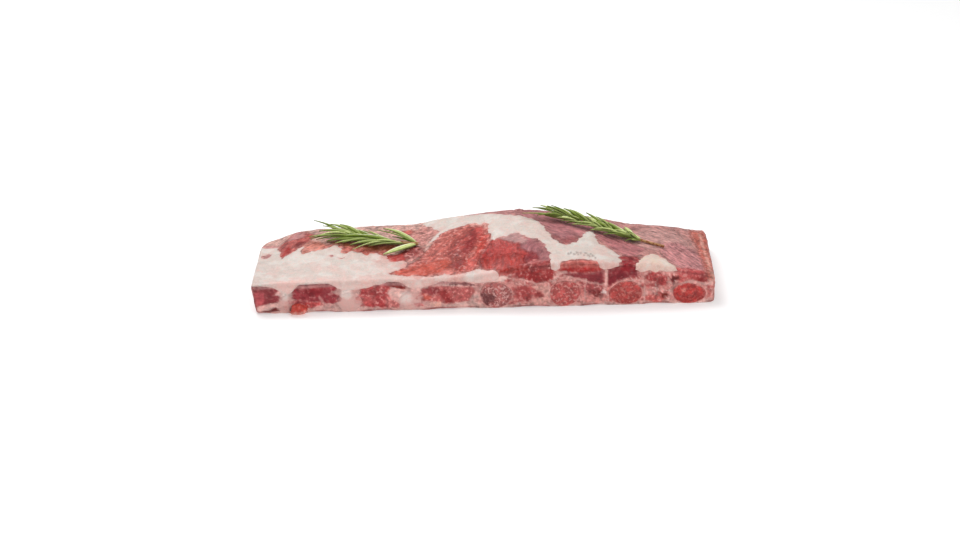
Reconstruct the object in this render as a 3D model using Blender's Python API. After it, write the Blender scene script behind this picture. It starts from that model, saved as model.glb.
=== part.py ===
"""Pork spare ribs: a raw slab cut across its ribs, under two sprigs of rosemary.

The slab lies bone side down. X runs along the cut front edge, Y to the back and Z up, with the
origin under the middle of the whole. Lengths below are in millimetres and become metres in
add_object. Heights of what lies on the slab are counted from its top.
"""
import math
import random

import bmesh
import bpy
from mathutils import Vector, noise

MM = 0.001
CENTRE = (-0.9, 2.15)   # puts the middle of the whole part over the origin
GAP = 0.3             # between pieces that touch
OVER = 5.0            # how far a cutter reaches past what it cuts
ASIDE = 0.05          # keeps a cutter's edges off the faces it passes through
SHARP_ANGLE = math.radians(50)
WELD = 0.00002        # metres

# The slab, at the middle of its depth
LEFT_END = -121.0
RIGHT_END = 121.9
FRONT = -40.0
BACK = 40.0
LEFT_LEAN = 0.08      # how far each end leans to +X for each millimetre to the back
RIGHT_LEAN = 0.105
RIB_LEAN = 0.09
UNDERCUT = 2.8        # the left end leans out over its foot
CORNERS = {"front_left": 2.0, "back_left": 1.5, "front_right": 2.5, "back_right": 4.0}
# Behind this depth the left end is cut off aslant: its slope, and how softly it sets in
SLANT_FROM, SLANT, SLANT_SOFT = 14.0, 0.55, 4.0
TOP_EDGE = 2.2        # rounding of the upper edge
FOOT_EDGE = 0.8       # rounding of the lower edge
CREST = 0.75          # where the slab is thickest, as a share of its depth
LENGTH_CELLS = 35
DEPTH_CELLS = 11

# Along X: the height of the front edge, of the crest and of the back edge
HEIGHTS = [
    (-121, 16.0, 16.3, 7.0), (-112, 16.3, 16.3, 7.9), (-102, 16.5, 19.7, 11.8),
    (-92, 16.7, 21.7, 12.5), (-68, 17.0, 22.9, 13.5), (-40, 16.5, 23.4, 15.0),
    (-10, 18.0, 28.1, 18.0), (20, 23.0, 30.9, 20.5), (50, 23.5, 27.5, 19.5),
    (80, 22.0, 21.1, 14.7), (105, 18.0, 18.2, 12.1), (121, 13.5, 15.3, 9.7),
]

# Swellings of the single muscles and seams between them: centre X, Y, half-widths, rise
SWELLINGS = [
    (-104, 12, 11, 9, 0.6), (-70, 2, 22, 10, 0.6), (-40, -6, 11, 16, 0.8), (-22, -18, 16, 15, 1.3),
    (16, -25, 12, 11, 1.5), (46, -3, 11, 9, 0.8), (48, -39, 11, 5, 0.8), (84, 4, 26, 16, 0.5),
    (0, -16, 3, 17, -1.2), (34, -14, 4, 14, -0.8), (-29, 6, 4, 11, -0.9), (69, -26, 6, 12, -0.9),
]
UNEVEN = 0.5          # rise and fall of the raw surface between them
UNEVEN_ALONG, UNEVEN_DEEP = 15.0, 11.0

# Ribs: name, X at the front, width, height, how far the cut end stands proud
RIBS = [
    ("cartilage_1", -106.4, 7.0, 9.6, 0.3), ("cartilage_2", -73.3, 12.0, 10.6, 0.3),
    ("cartilage_3", -42.0, 11.0, 10.4, 0.3), ("bone_1", 2.6, 16.4, 13.8, 0.9),
    ("bone_2", 38.7, 15.6, 13.8, 0.8), ("bone_3", 70.6, 16.6, 12.8, 0.8),
    ("bone_4", 103.9, 17.4, 10.8, 0.8),
]
RIB_FLOOR = 0.5       # meat left under each rib
RIB_TAPER = 0.72      # size of a rib at the back, as a share of its size at the front
RIB_SIDES = 20
RIB_UNEVEN = (0.04, 0.03)     # two waves round a rib, as shares of its radius
REST_HALF = 7.5       # the underside is flat this far to each side of a rib
HOLLOW = 0.8          # and arches this high between two ribs,
HOLLOW_RUN = 7.0      # over this width

PRISM_HEIGHT = 50.0   # of the straight-sided cutters, from below the slab to over it

# Layers of fat: outline on the slab
FAT_CAP = [
    (-127, -44), (-127, 16), (-119, 12.6), (-111.4, 9.6), (-109.2, 2), (-107.6, -5.6),
    (-104.6, -4.8), (-99.8, -1.6), (-95.6, -1), (-91.6, -4.4), (-85.7, -4), (-80.6, -2.2),
    (-77, -6.8), (-74.6, -10.4), (-69.6, -10.8), (-63.5, -12.8), (-57, -12.8), (-53, -15.6),
    (-51, -20), (-44.8, -21.4), (-43.4, -24), (-46.4, -27), (-52, -30.6), (-45.3, -32.8),
    (-37, -33.4), (-31, -35.2), (-19, -36.8), (-6, -35.8), (2, -37.6), (8.6, -39.2), (10, -44),
]
FAT_BAND = [
    (-28.8, -3), (-27, 1.5), (-24.4, 7), (-25.4, 13), (-30.5, 18.6), (-31, 25), (-24, 29.5),
    (-14, 27), (-6, 23.2), (7, 19.2), (17.5, 15.4), (23.2, 12.4), (28.6, 7.4), (33.1, -3.3),
    (36.1, -13.9), (41.4, -19.2), (48, -13.4), (53.2, -6), (57.4, 0.2), (58.4, -5.4), (60, -14.5),
    (64.1, -18.4), (67.8, -22.5), (68.6, -32), (66.2, -39), (65, -44), (59.4, -44), (57.6, -39.4),
    (54, -37.6), (48.6, -36), (41.8, -36), (38, -38.4), (36.4, -44), (33.4, -44), (32.4, -35),
    (30.5, -22.8), (26.6, -13.4), (21.6, -12), (15.7, -6.4), (10.6, -9), (4.6, -11.4), (2.6, -5),
    (1.6, 8.6), (-6.2, 11), (-12.5, 8.8), (-22, 4.4),
]
FAT_KNOB = [
    (75.8, -44), (76.4, -38), (79.7, -31.3), (83, -25.6), (87.1, -22.6), (90.2, -25), (92.2, -28.8),
    (94.6, -35), (96.8, -39.4), (97, -44),
]
# Name, outline, depth at the left and at the right end, rise over the meat
FATS = [
    ("fat_cap", FAT_CAP, 2.2, 4.6, 0.3), ("fat_band", FAT_BAND, 2.6, 2.6, 0.4),
    ("fat_knob", FAT_KNOB, 3.2, 3.2, 1.2),
]
DEEPER_FROM, DEEPER_TO = -34.0, 2.0     # between these X a layer goes from one depth to the other

# Bits fused to the meat: centre X, Y, Z and half-widths
SHRED = (-100.0, -41.3, 3.0, 5.2, 3.9, 3.0)
TAG = (20.5, 22.6, 29.6, 3.4, 2.6, 2.2)

# Rosemary: the stem's points, as X, Y and height over the slab, and each leaf's tip and length
CLEARANCE = 0.35
LEFT_STEM = [
    (-36.2, -7.7, 1.3), (-45.4, -2, 1.4), (-53.3, 0.2, 1.8), (-61.3, 1.3, 2.4), (-71.8, 2.6, 3.4),
]
LEFT_LEAVES = [
    (-90.4, 15.9, 8.0, 21), (-78.0, 11.4, 7.0, 17), (-88.7, 6.9, 5.0, 19), (-93.2, 4.8, 2.6, 25),
    (-86.4, 3.2, 1.4, 22), (-70.4, -8.1, 0.9, 22), (-52.9, -16.2, 0.9, 17), (-56.9, 5.8, 5.0, 13),
    (-53.7, 3.7, 4.6, 14), (-61.5, -6.5, 1.4, 18), (-68.0, 10.5, 4.0, 17), (-80.0, 14.0, 5.0, 20),
    (-95.0, 9.0, 4.4, 21), (-76.0, -2.5, 1.8, 19), (-84.0, 9.5, 7.2, 18), (-74.0, 5.0, 5.2, 16),
]
RIGHT_STEM = [
    (94.6, -12.6, 1.0), (88.9, -8.1, 1.0), (83.8, -4.8, 1.4), (72.3, -2.4, 2.2), (56.6, 2.4, 2.8),
    (45, 7.6, 3.4), (38, 11, 4.2),
]
RIGHT_LEAVES = [
    (23.1, 13.9, 2.7, 22), (30.7, 14.4, 6.0, 20), (36.9, 13.3, 7.2, 19), (33.4, 11.5, 1.8, 19),
    (41.1, 7.3, 1.2, 18), (54.8, 5.4, 8.2, 18), (75.1, -4.7, 7.0, 13), (56.5, -1.0, 1.2, 18),
    (74.3, -8.2, 1.2, 14), (47.0, 3.0, 1.3, 17), (63.0, -4.0, 1.2, 17), (27.0, 18.0, 3.6, 21),
    (38.0, 17.5, 4.8, 19), (46.4, 14.0, 6.2, 18), (43.4, 11.0, 7.8, 18), (51.0, 12.6, 3.8, 18),
    (63.6, 3.6, 6.4, 17), (62.0, 8.6, 3.2, 18), (67.4, -3.6, 6.0, 15), (56.6, 4.8, 5.0, 17),
    (71.0, 4.6, 2.4, 16), (49.4, 8.6, 7.2, 18), (68.0, 0.6, 4.6, 15), (79.0, 1.6, 3.0, 13),
    (80.6, -9.0, 1.6, 12), (34.6, 15.6, 6.6, 19),
]
STEM_RADIUS = (1.15, 0.6)
STEM_SAMPLES = 60
LEAF_WIDTH = 2.3
LEAF_THICKNESS = 0.8
LEAF_CUTS = (0.2, 0.55, 0.86)
LEAF_BOW = (0.03, 0.1)        # how far a leaf arches, as a share of its length
LEAF_WAVE = 0.15

COLOURS = {
    "meat": ((0.36, 0.06, 0.065), 0.42), "fat": ((0.83, 0.72, 0.66), 0.45),
    "cartilage": ((0.84, 0.74, 0.70), 0.4), "bone": ((0.42, 0.045, 0.05), 0.38),
    "rosemary": ((0.10, 0.22, 0.03), 0.5),
}


def smooth_step(value, start, end):
    """0 before start, 1 after end, with a soft change between them."""
    share = min(max((value - start) / (end - start), 0.0), 1.0)
    return share * share * (3.0 - 2.0 * share)


def height_along(x, column):
    """One column of HEIGHTS at x, by a smooth curve through its stations."""
    x = min(max(x, HEIGHTS[0][0]), HEIGHTS[-1][0])
    spans = range(len(HEIGHTS) - 1)
    i = next(k for k in spans if x <= HEIGHTS[k + 1][0])

    def slope(k):
        before, after = HEIGHTS[max(k - 1, 0)], HEIGHTS[min(k + 1, len(HEIGHTS) - 1)]
        return (after[column] - before[column]) / (after[0] - before[0])

    span = HEIGHTS[i + 1][0] - HEIGHTS[i][0]
    t = (x - HEIGHTS[i][0]) / span
    start, end = HEIGHTS[i][column], HEIGHTS[i + 1][column]
    return ((2 * t**3 - 3 * t**2 + 1) * start + (t**3 - 2 * t**2 + t) * span * slope(i)
            + (3 * t**2 - 2 * t**3) * end + (t**3 - t**2) * span * slope(i + 1))


def crown(x, y):
    """Height of the slab's top, before its edge is rounded."""
    front, crest, back = (height_along(x, column) for column in (1, 2, 3))
    depth = min(max((y - FRONT) / (BACK - FRONT), 0.0), 1.0)
    if depth < CREST:
        height = front + (crest - front) * math.sin(math.pi / 2 * depth / CREST)
    else:
        height = back + (crest - back) * math.cos(math.pi / 2 * (depth - CREST) / (1 - CREST))
    for centre_x, centre_y, half_x, half_y, rise in SWELLINGS:
        reach = ((x - centre_x) / half_x) ** 2 + ((y - centre_y) / half_y) ** 2
        height += rise * math.exp(-reach)
    return height + UNEVEN * noise.noise(Vector((x / UNEVEN_ALONG, y / UNEVEN_DEEP, 0.0)))


def corner_inset(y, front_radius, back_radius):
    """How far a rounded plan corner draws the end of the slab in at depth y."""
    y = min(max(y, FRONT), BACK)
    over = max(FRONT + front_radius - y, 0.0)
    if over > 0.0:
        return front_radius - math.sqrt(front_radius**2 - over**2)
    over = max(y - BACK + back_radius, 0.0)
    return back_radius - math.sqrt(back_radius**2 - over**2)


def end_edges(y):
    """X of the left and right ends of the slab's top at depth y."""
    left = LEFT_END + LEFT_LEAN * y + corner_inset(y, CORNERS["front_left"], CORNERS["back_left"])
    left += SLANT * (math.hypot(max(min(y, BACK) - SLANT_FROM, 0.0), SLANT_SOFT) - SLANT_SOFT)
    right = RIGHT_END + RIGHT_LEAN * y
    right -= corner_inset(y, CORNERS["front_right"], CORNERS["back_right"])
    return left, right


def edge_drop(distance, radius):
    """How far a rounded edge lies below the surface, this far in from the side."""
    inside = radius - min(max(distance, 0.0), radius)
    return radius - math.sqrt(radius**2 - inside**2)


def side_distance(x, y):
    left, right = end_edges(y)
    return min(x - left, right - x, y - FRONT, BACK - y)


def top_height(x, y):
    return crown(x, y) - edge_drop(side_distance(x, y), TOP_EDGE)


def foot_height(x, y):
    """The underside: flat under each rib, arched between them, rounded at the edge."""
    rib_x = [front_x + RIB_LEAN * (y - FRONT) for _, front_x, _, _, _ in RIBS]
    nearest = min(abs(x - rib) for rib in rib_x)
    arch = HOLLOW * smooth_step(nearest, REST_HALF, REST_HALF + HOLLOW_RUN)
    return arch + edge_drop(side_distance(x, y), FOOT_EDGE)


def layer_depth(x, left_depth, right_depth):
    return left_depth + (right_depth - left_depth) * smooth_step(x, DEEPER_FROM, DEEPER_TO)


def material(name):
    """The one material of a kind of piece, made when it is first asked for."""
    made = bpy.data.materials.get(name)
    if made is None:
        colour, roughness = COLOURS[name]
        made = bpy.data.materials.new(name)
        made.use_nodes = True
        shader = made.node_tree.nodes["Principled BSDF"]
        shader.inputs["Base Color"].default_value = (*colour, 1.0)
        shader.inputs["Roughness"].default_value = roughness
        shader.inputs["Metallic"].default_value = 0.0
        made.diffuse_color = (*colour, 1.0)
    return made


def add_object(name, bm, collection, material_name=None):
    """Make an object of a mesh in millimetres; without a material it is a cutter."""
    bmesh.ops.translate(bm, verts=bm.verts, vec=(*CENTRE, 0.0))
    bmesh.ops.scale(bm, verts=bm.verts, vec=(MM, MM, MM))
    bmesh.ops.recalc_face_normals(bm, faces=bm.faces)
    mesh = bpy.data.meshes.new(name)
    bm.to_mesh(mesh)
    bm.free()
    made = bpy.data.objects.new(name, mesh)
    collection.objects.link(made)
    if material_name:
        mesh.materials.append(material(material_name))
        mesh.shade_smooth()
        mesh.set_sharp_from_angle(angle=SHARP_ANGLE)
    else:
        made.hide_render = True
        made.display_type = "WIRE"
    return made


def boolean(target, operation, other=None, collection=None):
    """Add a Boolean with one object or with a collection."""
    modifier = target.modifiers.new(operation.lower(), "BOOLEAN")
    modifier.operation = operation
    if collection:
        modifier.operand_type = "COLLECTION"
        modifier.collection = collection
    else:
        modifier.object = other


def evaluated_mesh(target):
    """What the object's modifiers, or its curve, make of it, as a mesh of its own."""
    bpy.context.view_layer.update()
    evaluated = target.evaluated_get(bpy.context.evaluated_depsgraph_get())
    return bpy.data.meshes.new_from_object(evaluated)


def curve_to_mesh(drawn, name, collection):
    """Replace a curve object by a closed mesh object, its caps welded to its sides."""
    mesh = evaluated_mesh(drawn)
    bm = bmesh.new()
    bm.from_mesh(mesh)
    bmesh.ops.remove_doubles(bm, verts=bm.verts, dist=WELD)
    bmesh.ops.recalc_face_normals(bm, faces=bm.faces)
    bm.to_mesh(mesh)
    bm.free()
    made = bpy.data.objects.new(name, mesh)
    made.matrix_world = drawn.matrix_world
    collection.objects.link(made)
    bpy.data.objects.remove(drawn)
    return made


def side_cuts(side, count):
    """Where to cut a side, as shares of it: close together at the rounded edges, then evenly.

    The first and last cuts fall just outside the slab, so they only meet blocks wider than it.
    """
    close = [-ASIDE / side, TOP_EDGE / 2 / side, TOP_EDGE / side]
    start = 3 * TOP_EDGE / side
    even = [start + (1 - 2 * start) * i / count for i in range(count + 1)]
    return close + even + [1 - cut for cut in close]


def grid_block(low, high, over=0.0):
    """A cube cut into a grid and bent to the slab's plan, from height low(x, y) to high(x, y).

    It is wider than the slab by over on every side, as a cutter has to be.
    """
    length = RIGHT_END - LEFT_END
    depth = BACK - FRONT
    x_cuts = side_cuts(length, LENGTH_CELLS)
    y_cuts = side_cuts(depth, DEPTH_CELLS)
    bm = bmesh.new()
    bmesh.ops.create_cube(bm, size=1.0)
    bmesh.ops.translate(bm, verts=bm.verts, vec=(0.5, 0.5, 0.5))
    bmesh.ops.scale(bm, verts=bm.verts, vec=(1 + 2 * over / length, 1 + 2 * over / depth, 1.0))
    bmesh.ops.translate(bm, verts=bm.verts, vec=(-over / length, -over / depth, 0.0))
    height_cuts = (0.5,) if over == 0.0 else ()
    for axis, cuts in enumerate((x_cuts, y_cuts, height_cuts)):
        normal = Vector((0.0, 0.0, 0.0))
        normal[axis] = 1.0
        for cut in cuts:
            geometry = bm.verts[:] + bm.edges[:] + bm.faces[:]
            bmesh.ops.bisect_plane(bm, geom=geometry, plane_co=normal * cut, plane_no=normal, dist=1e-6)
    for vert in bm.verts:
        across, along, lift = vert.co
        y = FRONT + along * depth
        left, right = end_edges(y)
        x = left + across * (right - left)
        z = low(x, y) + lift * (high(x, y) - low(x, y))
        lean = UNDERCUT * (1 - min(z / crown(x, y), 1.0)) * max(1 - across, 0.0)
        vert.co = (x + lean, y, z)
    bmesh.ops.triangulate(bm, faces=bm.faces, quad_method="SHORT_EDGE")
    return bm


def outline_prism(name, points, grow, collection):
    """A straight-sided cutter on a soft outline, made as a flat curve and turned into a mesh."""
    curve = bpy.data.curves.new(name, "CURVE")
    curve.dimensions = "2D"
    curve.fill_mode = "BOTH"
    curve.extrude = PRISM_HEIGHT / 2 * MM
    curve.offset = grow * MM
    curve.resolution_u = 2
    spline = curve.splines.new("BEZIER")
    spline.bezier_points.add(len(points) - 1)
    for bezier, (x, y) in zip(spline.bezier_points, points):
        bezier.co = ((x + CENTRE[0]) * MM, (y + CENTRE[1]) * MM, 0.0)
        bezier.handle_left_type = bezier.handle_right_type = "AUTO"
    spline.use_cyclic_u = True
    drawn = bpy.data.objects.new(name + "_outline", curve)
    collection.objects.link(drawn)
    drawn.location.z = (PRISM_HEIGHT / 2 - OVER) * MM
    prism = curve_to_mesh(drawn, name, collection)
    prism.hide_render = True
    prism.display_type = "WIRE"
    return prism


def rib_rod(front_x, width, height, proud, grow=0.0):
    """An oval rod from the front cut to the back cut, thinner there, leaning as the ends do."""
    length = BACK - FRONT + 2 * (proud + (OVER if grow else 0.0))
    bm = bmesh.new()
    bmesh.ops.create_cone(bm, cap_ends=True, segments=RIB_SIDES, radius1=1.0, radius2=1.0, depth=length)
    for vert in bm.verts:
        angle = math.atan2(vert.co.y, vert.co.x)
        uneven = 1 + RIB_UNEVEN[0] * math.sin(2 * angle + front_x)
        uneven += RIB_UNEVEN[1] * math.sin(3 * angle + front_x / 2)
        y = vert.co.z
        size = 1 - (1 - RIB_TAPER) * (y - FRONT) / (BACK - FRONT)
        across = math.cos(angle) * (width / 2 * uneven * size + grow)
        up = math.sin(angle) * (height / 2 * uneven * size + grow)
        centre_z = RIB_FLOOR + GAP + height / 2 * size
        vert.co = (front_x + RIB_LEAN * (y - FRONT) + across, y, centre_z + up)
    return bm


def lump(centre_x, centre_y, centre_z, half_x, half_y, half_z):
    bm = bmesh.new()
    bmesh.ops.create_icosphere(bm, subdivisions=2, radius=1.0)
    bmesh.ops.scale(bm, verts=bm.verts, vec=(half_x, half_y, half_z))
    bmesh.ops.translate(bm, verts=bm.verts, vec=(centre_x, centre_y, centre_z))
    return bm


def over_slab(x, y, height, half_thickness):
    """A point at a height over the slab, never nearer to the meat than the clearance."""
    lowest = CLEARANCE + half_thickness
    return Vector((x, y, crown(x, y) + max(height, lowest)))


def soft_path(points, share):
    """The point at a share of a smooth line through points."""
    place = share * (len(points) - 1)
    i = min(int(place), len(points) - 2)
    t = place - i
    before, start, end, after = (
        points[max(i - 1, 0)], points[i], points[i + 1], points[min(i + 2, len(points) - 1)])
    return (2 * start + (end - before) * t + (2 * before - 5 * start + 4 * end - after) * t**2
            + (3 * start - before - 3 * end + after) * t**3) / 2


def sprig_stem(name, points, collection):
    """The woody stem, a tapering tube with closed ends."""
    curve = bpy.data.curves.new(name, "CURVE")
    curve.dimensions = "3D"
    curve.bevel_depth = MM
    curve.bevel_resolution = 1
    curve.use_fill_caps = True
    spline = curve.splines.new("POLY")
    steps = 2 * len(points)
    spline.points.add(steps)
    for i, point in enumerate(spline.points):
        share = i / steps
        place = soft_path(points, share)
        point.co = ((place.x + CENTRE[0]) * MM, (place.y + CENTRE[1]) * MM, place.z * MM, 1.0)
        point.radius = STEM_RADIUS[0] + (STEM_RADIUS[1] - STEM_RADIUS[0]) * share
    drawn = bpy.data.objects.new(name + "_line", curve)
    collection.objects.link(drawn)
    return curve_to_mesh(drawn, name, collection)


def leaf_profile(share):
    """Half-width of a leaf along its length, as a share of its greatest."""
    return max(0.3 + 0.7 * smooth_step(share, 0.0, 0.2) - 0.78 * smooth_step(share, 0.55, 1.02), 0.22)


def leaf(base, tip, bow):
    """A needle leaf: a thin blade, cut from a cube, that arches from the stem to its tip."""
    bm = bmesh.new()
    bmesh.ops.create_cube(bm, size=1.0)
    bmesh.ops.translate(bm, verts=bm.verts, vec=(0.5, 0.0, 0.0))
    for cut in LEAF_CUTS:
        geometry = bm.verts[:] + bm.edges[:] + bm.faces[:]
        bmesh.ops.bisect_plane(bm, geom=geometry, plane_co=(cut, 0, 0), plane_no=(1, 0, 0), dist=1e-6)
    bmesh.ops.triangulate(bm, faces=bm.faces)
    run = tip - base
    side = run.cross(Vector((0.0, 0.0, 1.0))).normalized()
    up = side.cross(run).normalized()
    for vert in bm.verts:
        share, across, thick = vert.co
        profile = leaf_profile(share)
        centre = base + run * share + up * (bow * run.length * 4 * share * (1 - share))
        lowest = over_slab(centre.x, centre.y, 0.0, LEAF_THICKNESS / 2)
        centre.z = max(centre.z, lowest.z)
        wave = LEAF_WAVE * math.sin(7.0 * share + base.x)
        vert.co = centre + side * (2 * across * profile * LEAF_WIDTH / 2) + up * (
            2 * thick * LEAF_THICKNESS / 2 * (0.5 + 0.5 * profile) + wave)
    return bm


def sprig(name, stem_points, leaves, seed, parts):
    """A stem with a leaf to each tip, joined into one solid."""
    draw = random.Random(seed)
    joined = bpy.data.collections.new(name + "_leaves")
    bpy.context.scene.collection.children.link(joined)
    points = [over_slab(x, y, height, STEM_RADIUS[0]) for x, y, height in stem_points]
    stem = sprig_stem(name, points, parts)
    stem.data.materials.append(material("rosemary"))
    samples = [soft_path(points, i / STEM_SAMPLES) for i in range(STEM_SAMPLES + 1)]
    for i, (x, y, height, length) in enumerate(leaves):
        tip = over_slab(x, y, height, LEAF_THICKNESS / 2)
        base = min(samples, key=lambda point: abs((point - tip).length - length))
        made = add_object(f"{name}_leaf_{i}", leaf(base, tip, draw.uniform(*LEAF_BOW)), joined)
        made.data.materials.append(material("rosemary"))
    boolean(stem, "UNION", collection=joined)
    whole = evaluated_mesh(stem)
    stem.modifiers.clear()
    stem.data = whole
    whole.shade_smooth()
    whole.set_sharp_from_angle(angle=SHARP_ANGLE)
    for made in list(joined.objects):
        bpy.data.objects.remove(made)
    bpy.data.collections.remove(joined)


def main():
    for old in list(bpy.data.objects):
        bpy.data.objects.remove(old)
    parts = bpy.data.collections.new("pork_spare_ribs")
    cutters = bpy.data.collections.new("cutters")
    tunnels = bpy.data.collections.new("rib_tunnels")
    for collection in (parts, cutters, tunnels):
        bpy.context.scene.collection.children.link(collection)

    for name, front_x, width, height, proud in RIBS:
        kind = name.split("_")[0]
        add_object(name, rib_rod(front_x, width, height, proud), parts, kind)
        add_object(name + "_tunnel", rib_rod(front_x, width, height, proud, GAP), tunnels)

    meat = add_object("meat", grid_block(foot_height, top_height), parts, "meat")
    for name, place in (("shred", SHRED), ("tag", TAG)):
        boolean(meat, "UNION", add_object(name, lump(*place), cutters))

    for name, outline, left_depth, right_depth, rise in FATS:
        def layer_foot(x, y):
            return top_height(x, y) - layer_depth(x, left_depth, right_depth)

        def layer_top(x, y):
            return top_height(x, y) + rise

        def pocket_foot(x, y):
            return layer_foot(x, y) - GAP

        def pocket_top(x, y):
            return top_height(x, y) + OVER

        fat = add_object(name, grid_block(layer_foot, layer_top), parts, "fat")
        boolean(fat, "INTERSECT", outline_prism(name + "_shape", outline, 0.0, cutters))
        boolean(fat, "DIFFERENCE", collection=tunnels)
        pocket = add_object(name + "_pocket", grid_block(pocket_foot, pocket_top, OVER), cutters)
        boolean(pocket, "INTERSECT", outline_prism(name + "_room", outline, GAP, cutters))
        boolean(meat, "DIFFERENCE", pocket)
    boolean(meat, "DIFFERENCE", collection=tunnels)

    sprig("rosemary_left", LEFT_STEM, LEFT_LEAVES, 3, parts)
    sprig("rosemary_right", RIGHT_STEM, RIGHT_LEAVES, 8, parts)


main()
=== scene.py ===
"""Pork spare ribs: the looks of a raw slab of ribs with two sprigs of rosemary lying on it.

Lengths are millimetres on the slab: X along the sawn front, Y to the back, Z up. They become
metres in the frame's own place when a piece is made.
"""

import math
import random

import bpy
import numpy as np
from mathutils import Matrix, Vector, noise


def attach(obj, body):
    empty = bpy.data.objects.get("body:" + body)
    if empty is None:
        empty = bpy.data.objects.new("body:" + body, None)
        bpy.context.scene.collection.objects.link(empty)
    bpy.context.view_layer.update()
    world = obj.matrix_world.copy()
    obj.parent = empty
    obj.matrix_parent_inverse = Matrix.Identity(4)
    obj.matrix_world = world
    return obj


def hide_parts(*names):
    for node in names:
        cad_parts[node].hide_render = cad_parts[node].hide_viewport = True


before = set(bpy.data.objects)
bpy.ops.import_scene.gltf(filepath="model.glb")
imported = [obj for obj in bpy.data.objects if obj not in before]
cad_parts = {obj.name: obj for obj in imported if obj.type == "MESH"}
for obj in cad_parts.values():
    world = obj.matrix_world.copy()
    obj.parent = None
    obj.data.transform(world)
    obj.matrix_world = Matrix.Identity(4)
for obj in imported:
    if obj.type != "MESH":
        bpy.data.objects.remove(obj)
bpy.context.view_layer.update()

# ---------------------------------------------------------------- the slab
# A raw slab of ribs, sawn straight across at the front, the back and both ends. The muscles
# swell and sink on top, and the underside arches a little between the ribs. Each piece of meat
# and fat below is cut out of this one form, so they meet without a gap.
MM = 0.001
CENTRE = (-0.9, 2.15, 0.0)      # from the slab's own middle to the frame's origin
FRONT, BACK = -40.0, 40.0
LEFT_END, LEFT_LEAN = -121.0, 0.08      # an end, and how far it moves right per millimetre back
RIGHT_END, RIGHT_LEAN = 121.9, 0.105
RIB_LEAN = 0.09                 # and the same for a rib
UNDERCUT = 2.8                  # how far the foot of the left end is drawn in
CREST = 0.75                    # how far back the crest lies, as a share of the depth
TOP_EDGE, FOOT_EDGE = 2.2, 0.4  # how far the edges are rounded
REST_HALF, HOLLOW, HOLLOW_RUN = 7.5, 0.6, 7.0   # flat strip under a rib, and the arch beside it
CELL, EDGE_CELLS, LAYERS = 0.75, 4, 28  # grid cells: their size, how many round an edge and up a side
CORNERS = {"front_left": 2.0, "back_left": 1.5, "front_right": 2.5, "back_right": 4.0}
# Behind this depth the left end is cut off aslant: its slope, and how softly it sets in
SLANT_FROM, SLANT, SLANT_SOFT = 14.0, 0.55, 4.0
# Along X: the height of the front edge, of the crest and of the back edge
HEIGHTS = np.array([
    (-121, 16.0, 16.3, 7.0), (-112, 16.3, 16.3, 7.9), (-102, 16.5, 19.7, 11.8),
    (-92, 16.7, 21.7, 12.5), (-68, 17.0, 22.9, 13.5), (-40, 16.5, 23.4, 15.0),
    (-10, 18.0, 28.1, 18.0), (20, 23.0, 30.9, 20.5), (50, 23.5, 27.5, 19.5),
    (80, 22.0, 21.1, 14.7), (105, 18.0, 18.2, 12.1), (121, 13.5, 15.3, 9.7),
])
# Swellings of the single muscles and seams between them: centre X, Y, half-widths, rise
SWELLINGS = [
    (-104, 12, 11, 9, 0.6), (-70, 2, 22, 10, 0.6), (-40, -6, 11, 16, 0.8), (-22, -18, 16, 15, 1.3),
    (16, -25, 12, 11, 1.5), (46, -3, 11, 9, 0.8), (48, -39, 11, 5, 0.8), (84, 4, 26, 16, 0.5),
    (0, -16, 3, 17, -1.2), (34, -14, 4, 14, -0.8), (-29, 6, 4, 11, -0.9), (69, -26, 6, 12, -0.9),
]
UNEVEN, UNEVEN_SIZE = 0.5, (15.0, 11.0, 1.0)
# Name, X at the front, width, height, how far the sawn end stands proud
RIBS = [
    ("cartilage_1", -106.4, 7.0, 9.6, 0.3), ("cartilage_2", -73.3, 12.0, 10.6, 0.3),
    ("cartilage_3", -42.0, 11.0, 10.4, 0.3), ("bone_1", 2.6, 16.4, 14.4, 0.9),
    ("bone_2", 38.7, 15.8, 14.4, 0.8), ("bone_3", 70.6, 16.8, 13.4, 0.8),
    ("bone_4", 103.9, 17.6, 11.2, 0.8),
]
RIB_FLOOR = 0.3
RIB_TAPER = 0.72                # size of a rib at the back, as a share of its size at the front
# Bits that hang on by a corner: centre and half-widths
SHRED = ((-100.0, -41.3, 3.0), (5.2, 3.9, 3.0))
TAG = ((20.5, 22.6, 29.6), (3.4, 2.6, 2.2))
BIT_RINGS, BIT_UNEVEN = 28, 0.22        # rows of corners, and how rough the bits are


def smooth_step(value, start, end):
    """0 up to start, 1 from end on, and a smooth change between."""
    share = np.clip((value - start) / (end - start), 0.0, 1.0)
    return share * share * (3.0 - 2.0 * share)


def rough(points, size, octaves=1, seed=0.0):
    """Soft random values, about -1 to 1, at points, with bumps about this many millimetres wide."""
    places = points / size + (0.0, 0.0, seed)
    if octaves == 1:
        return np.array([noise.noise(place) for place in places])
    return np.array([noise.fractal(place, 1.0, 2.0, octaves) for place in places])


def flat(x, y):
    """Points in the plane, for rough()."""
    return np.stack([x, y, np.zeros_like(x)], axis=-1)


def height_along(x, column):
    """One column of HEIGHTS at x, by a smooth curve through its stations."""
    places, values = HEIGHTS[:, 0], HEIGHTS[:, column]
    x = np.clip(x, places[0], places[-1])
    i = np.clip(np.searchsorted(places, x) - 1, 0, len(places) - 2)
    station = np.arange(len(places))
    before, after = np.maximum(station - 1, 0), np.minimum(station + 1, len(places) - 1)
    slope = (values[after] - values[before]) / (places[after] - places[before])
    span = places[i + 1] - places[i]
    t = (x - places[i]) / span
    return ((2 * t**3 - 3 * t**2 + 1) * values[i] + (t**3 - 2 * t**2 + t) * span * slope[i]
            + (3 * t**2 - 2 * t**3) * values[i + 1] + (t**3 - t**2) * span * slope[i + 1])


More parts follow.
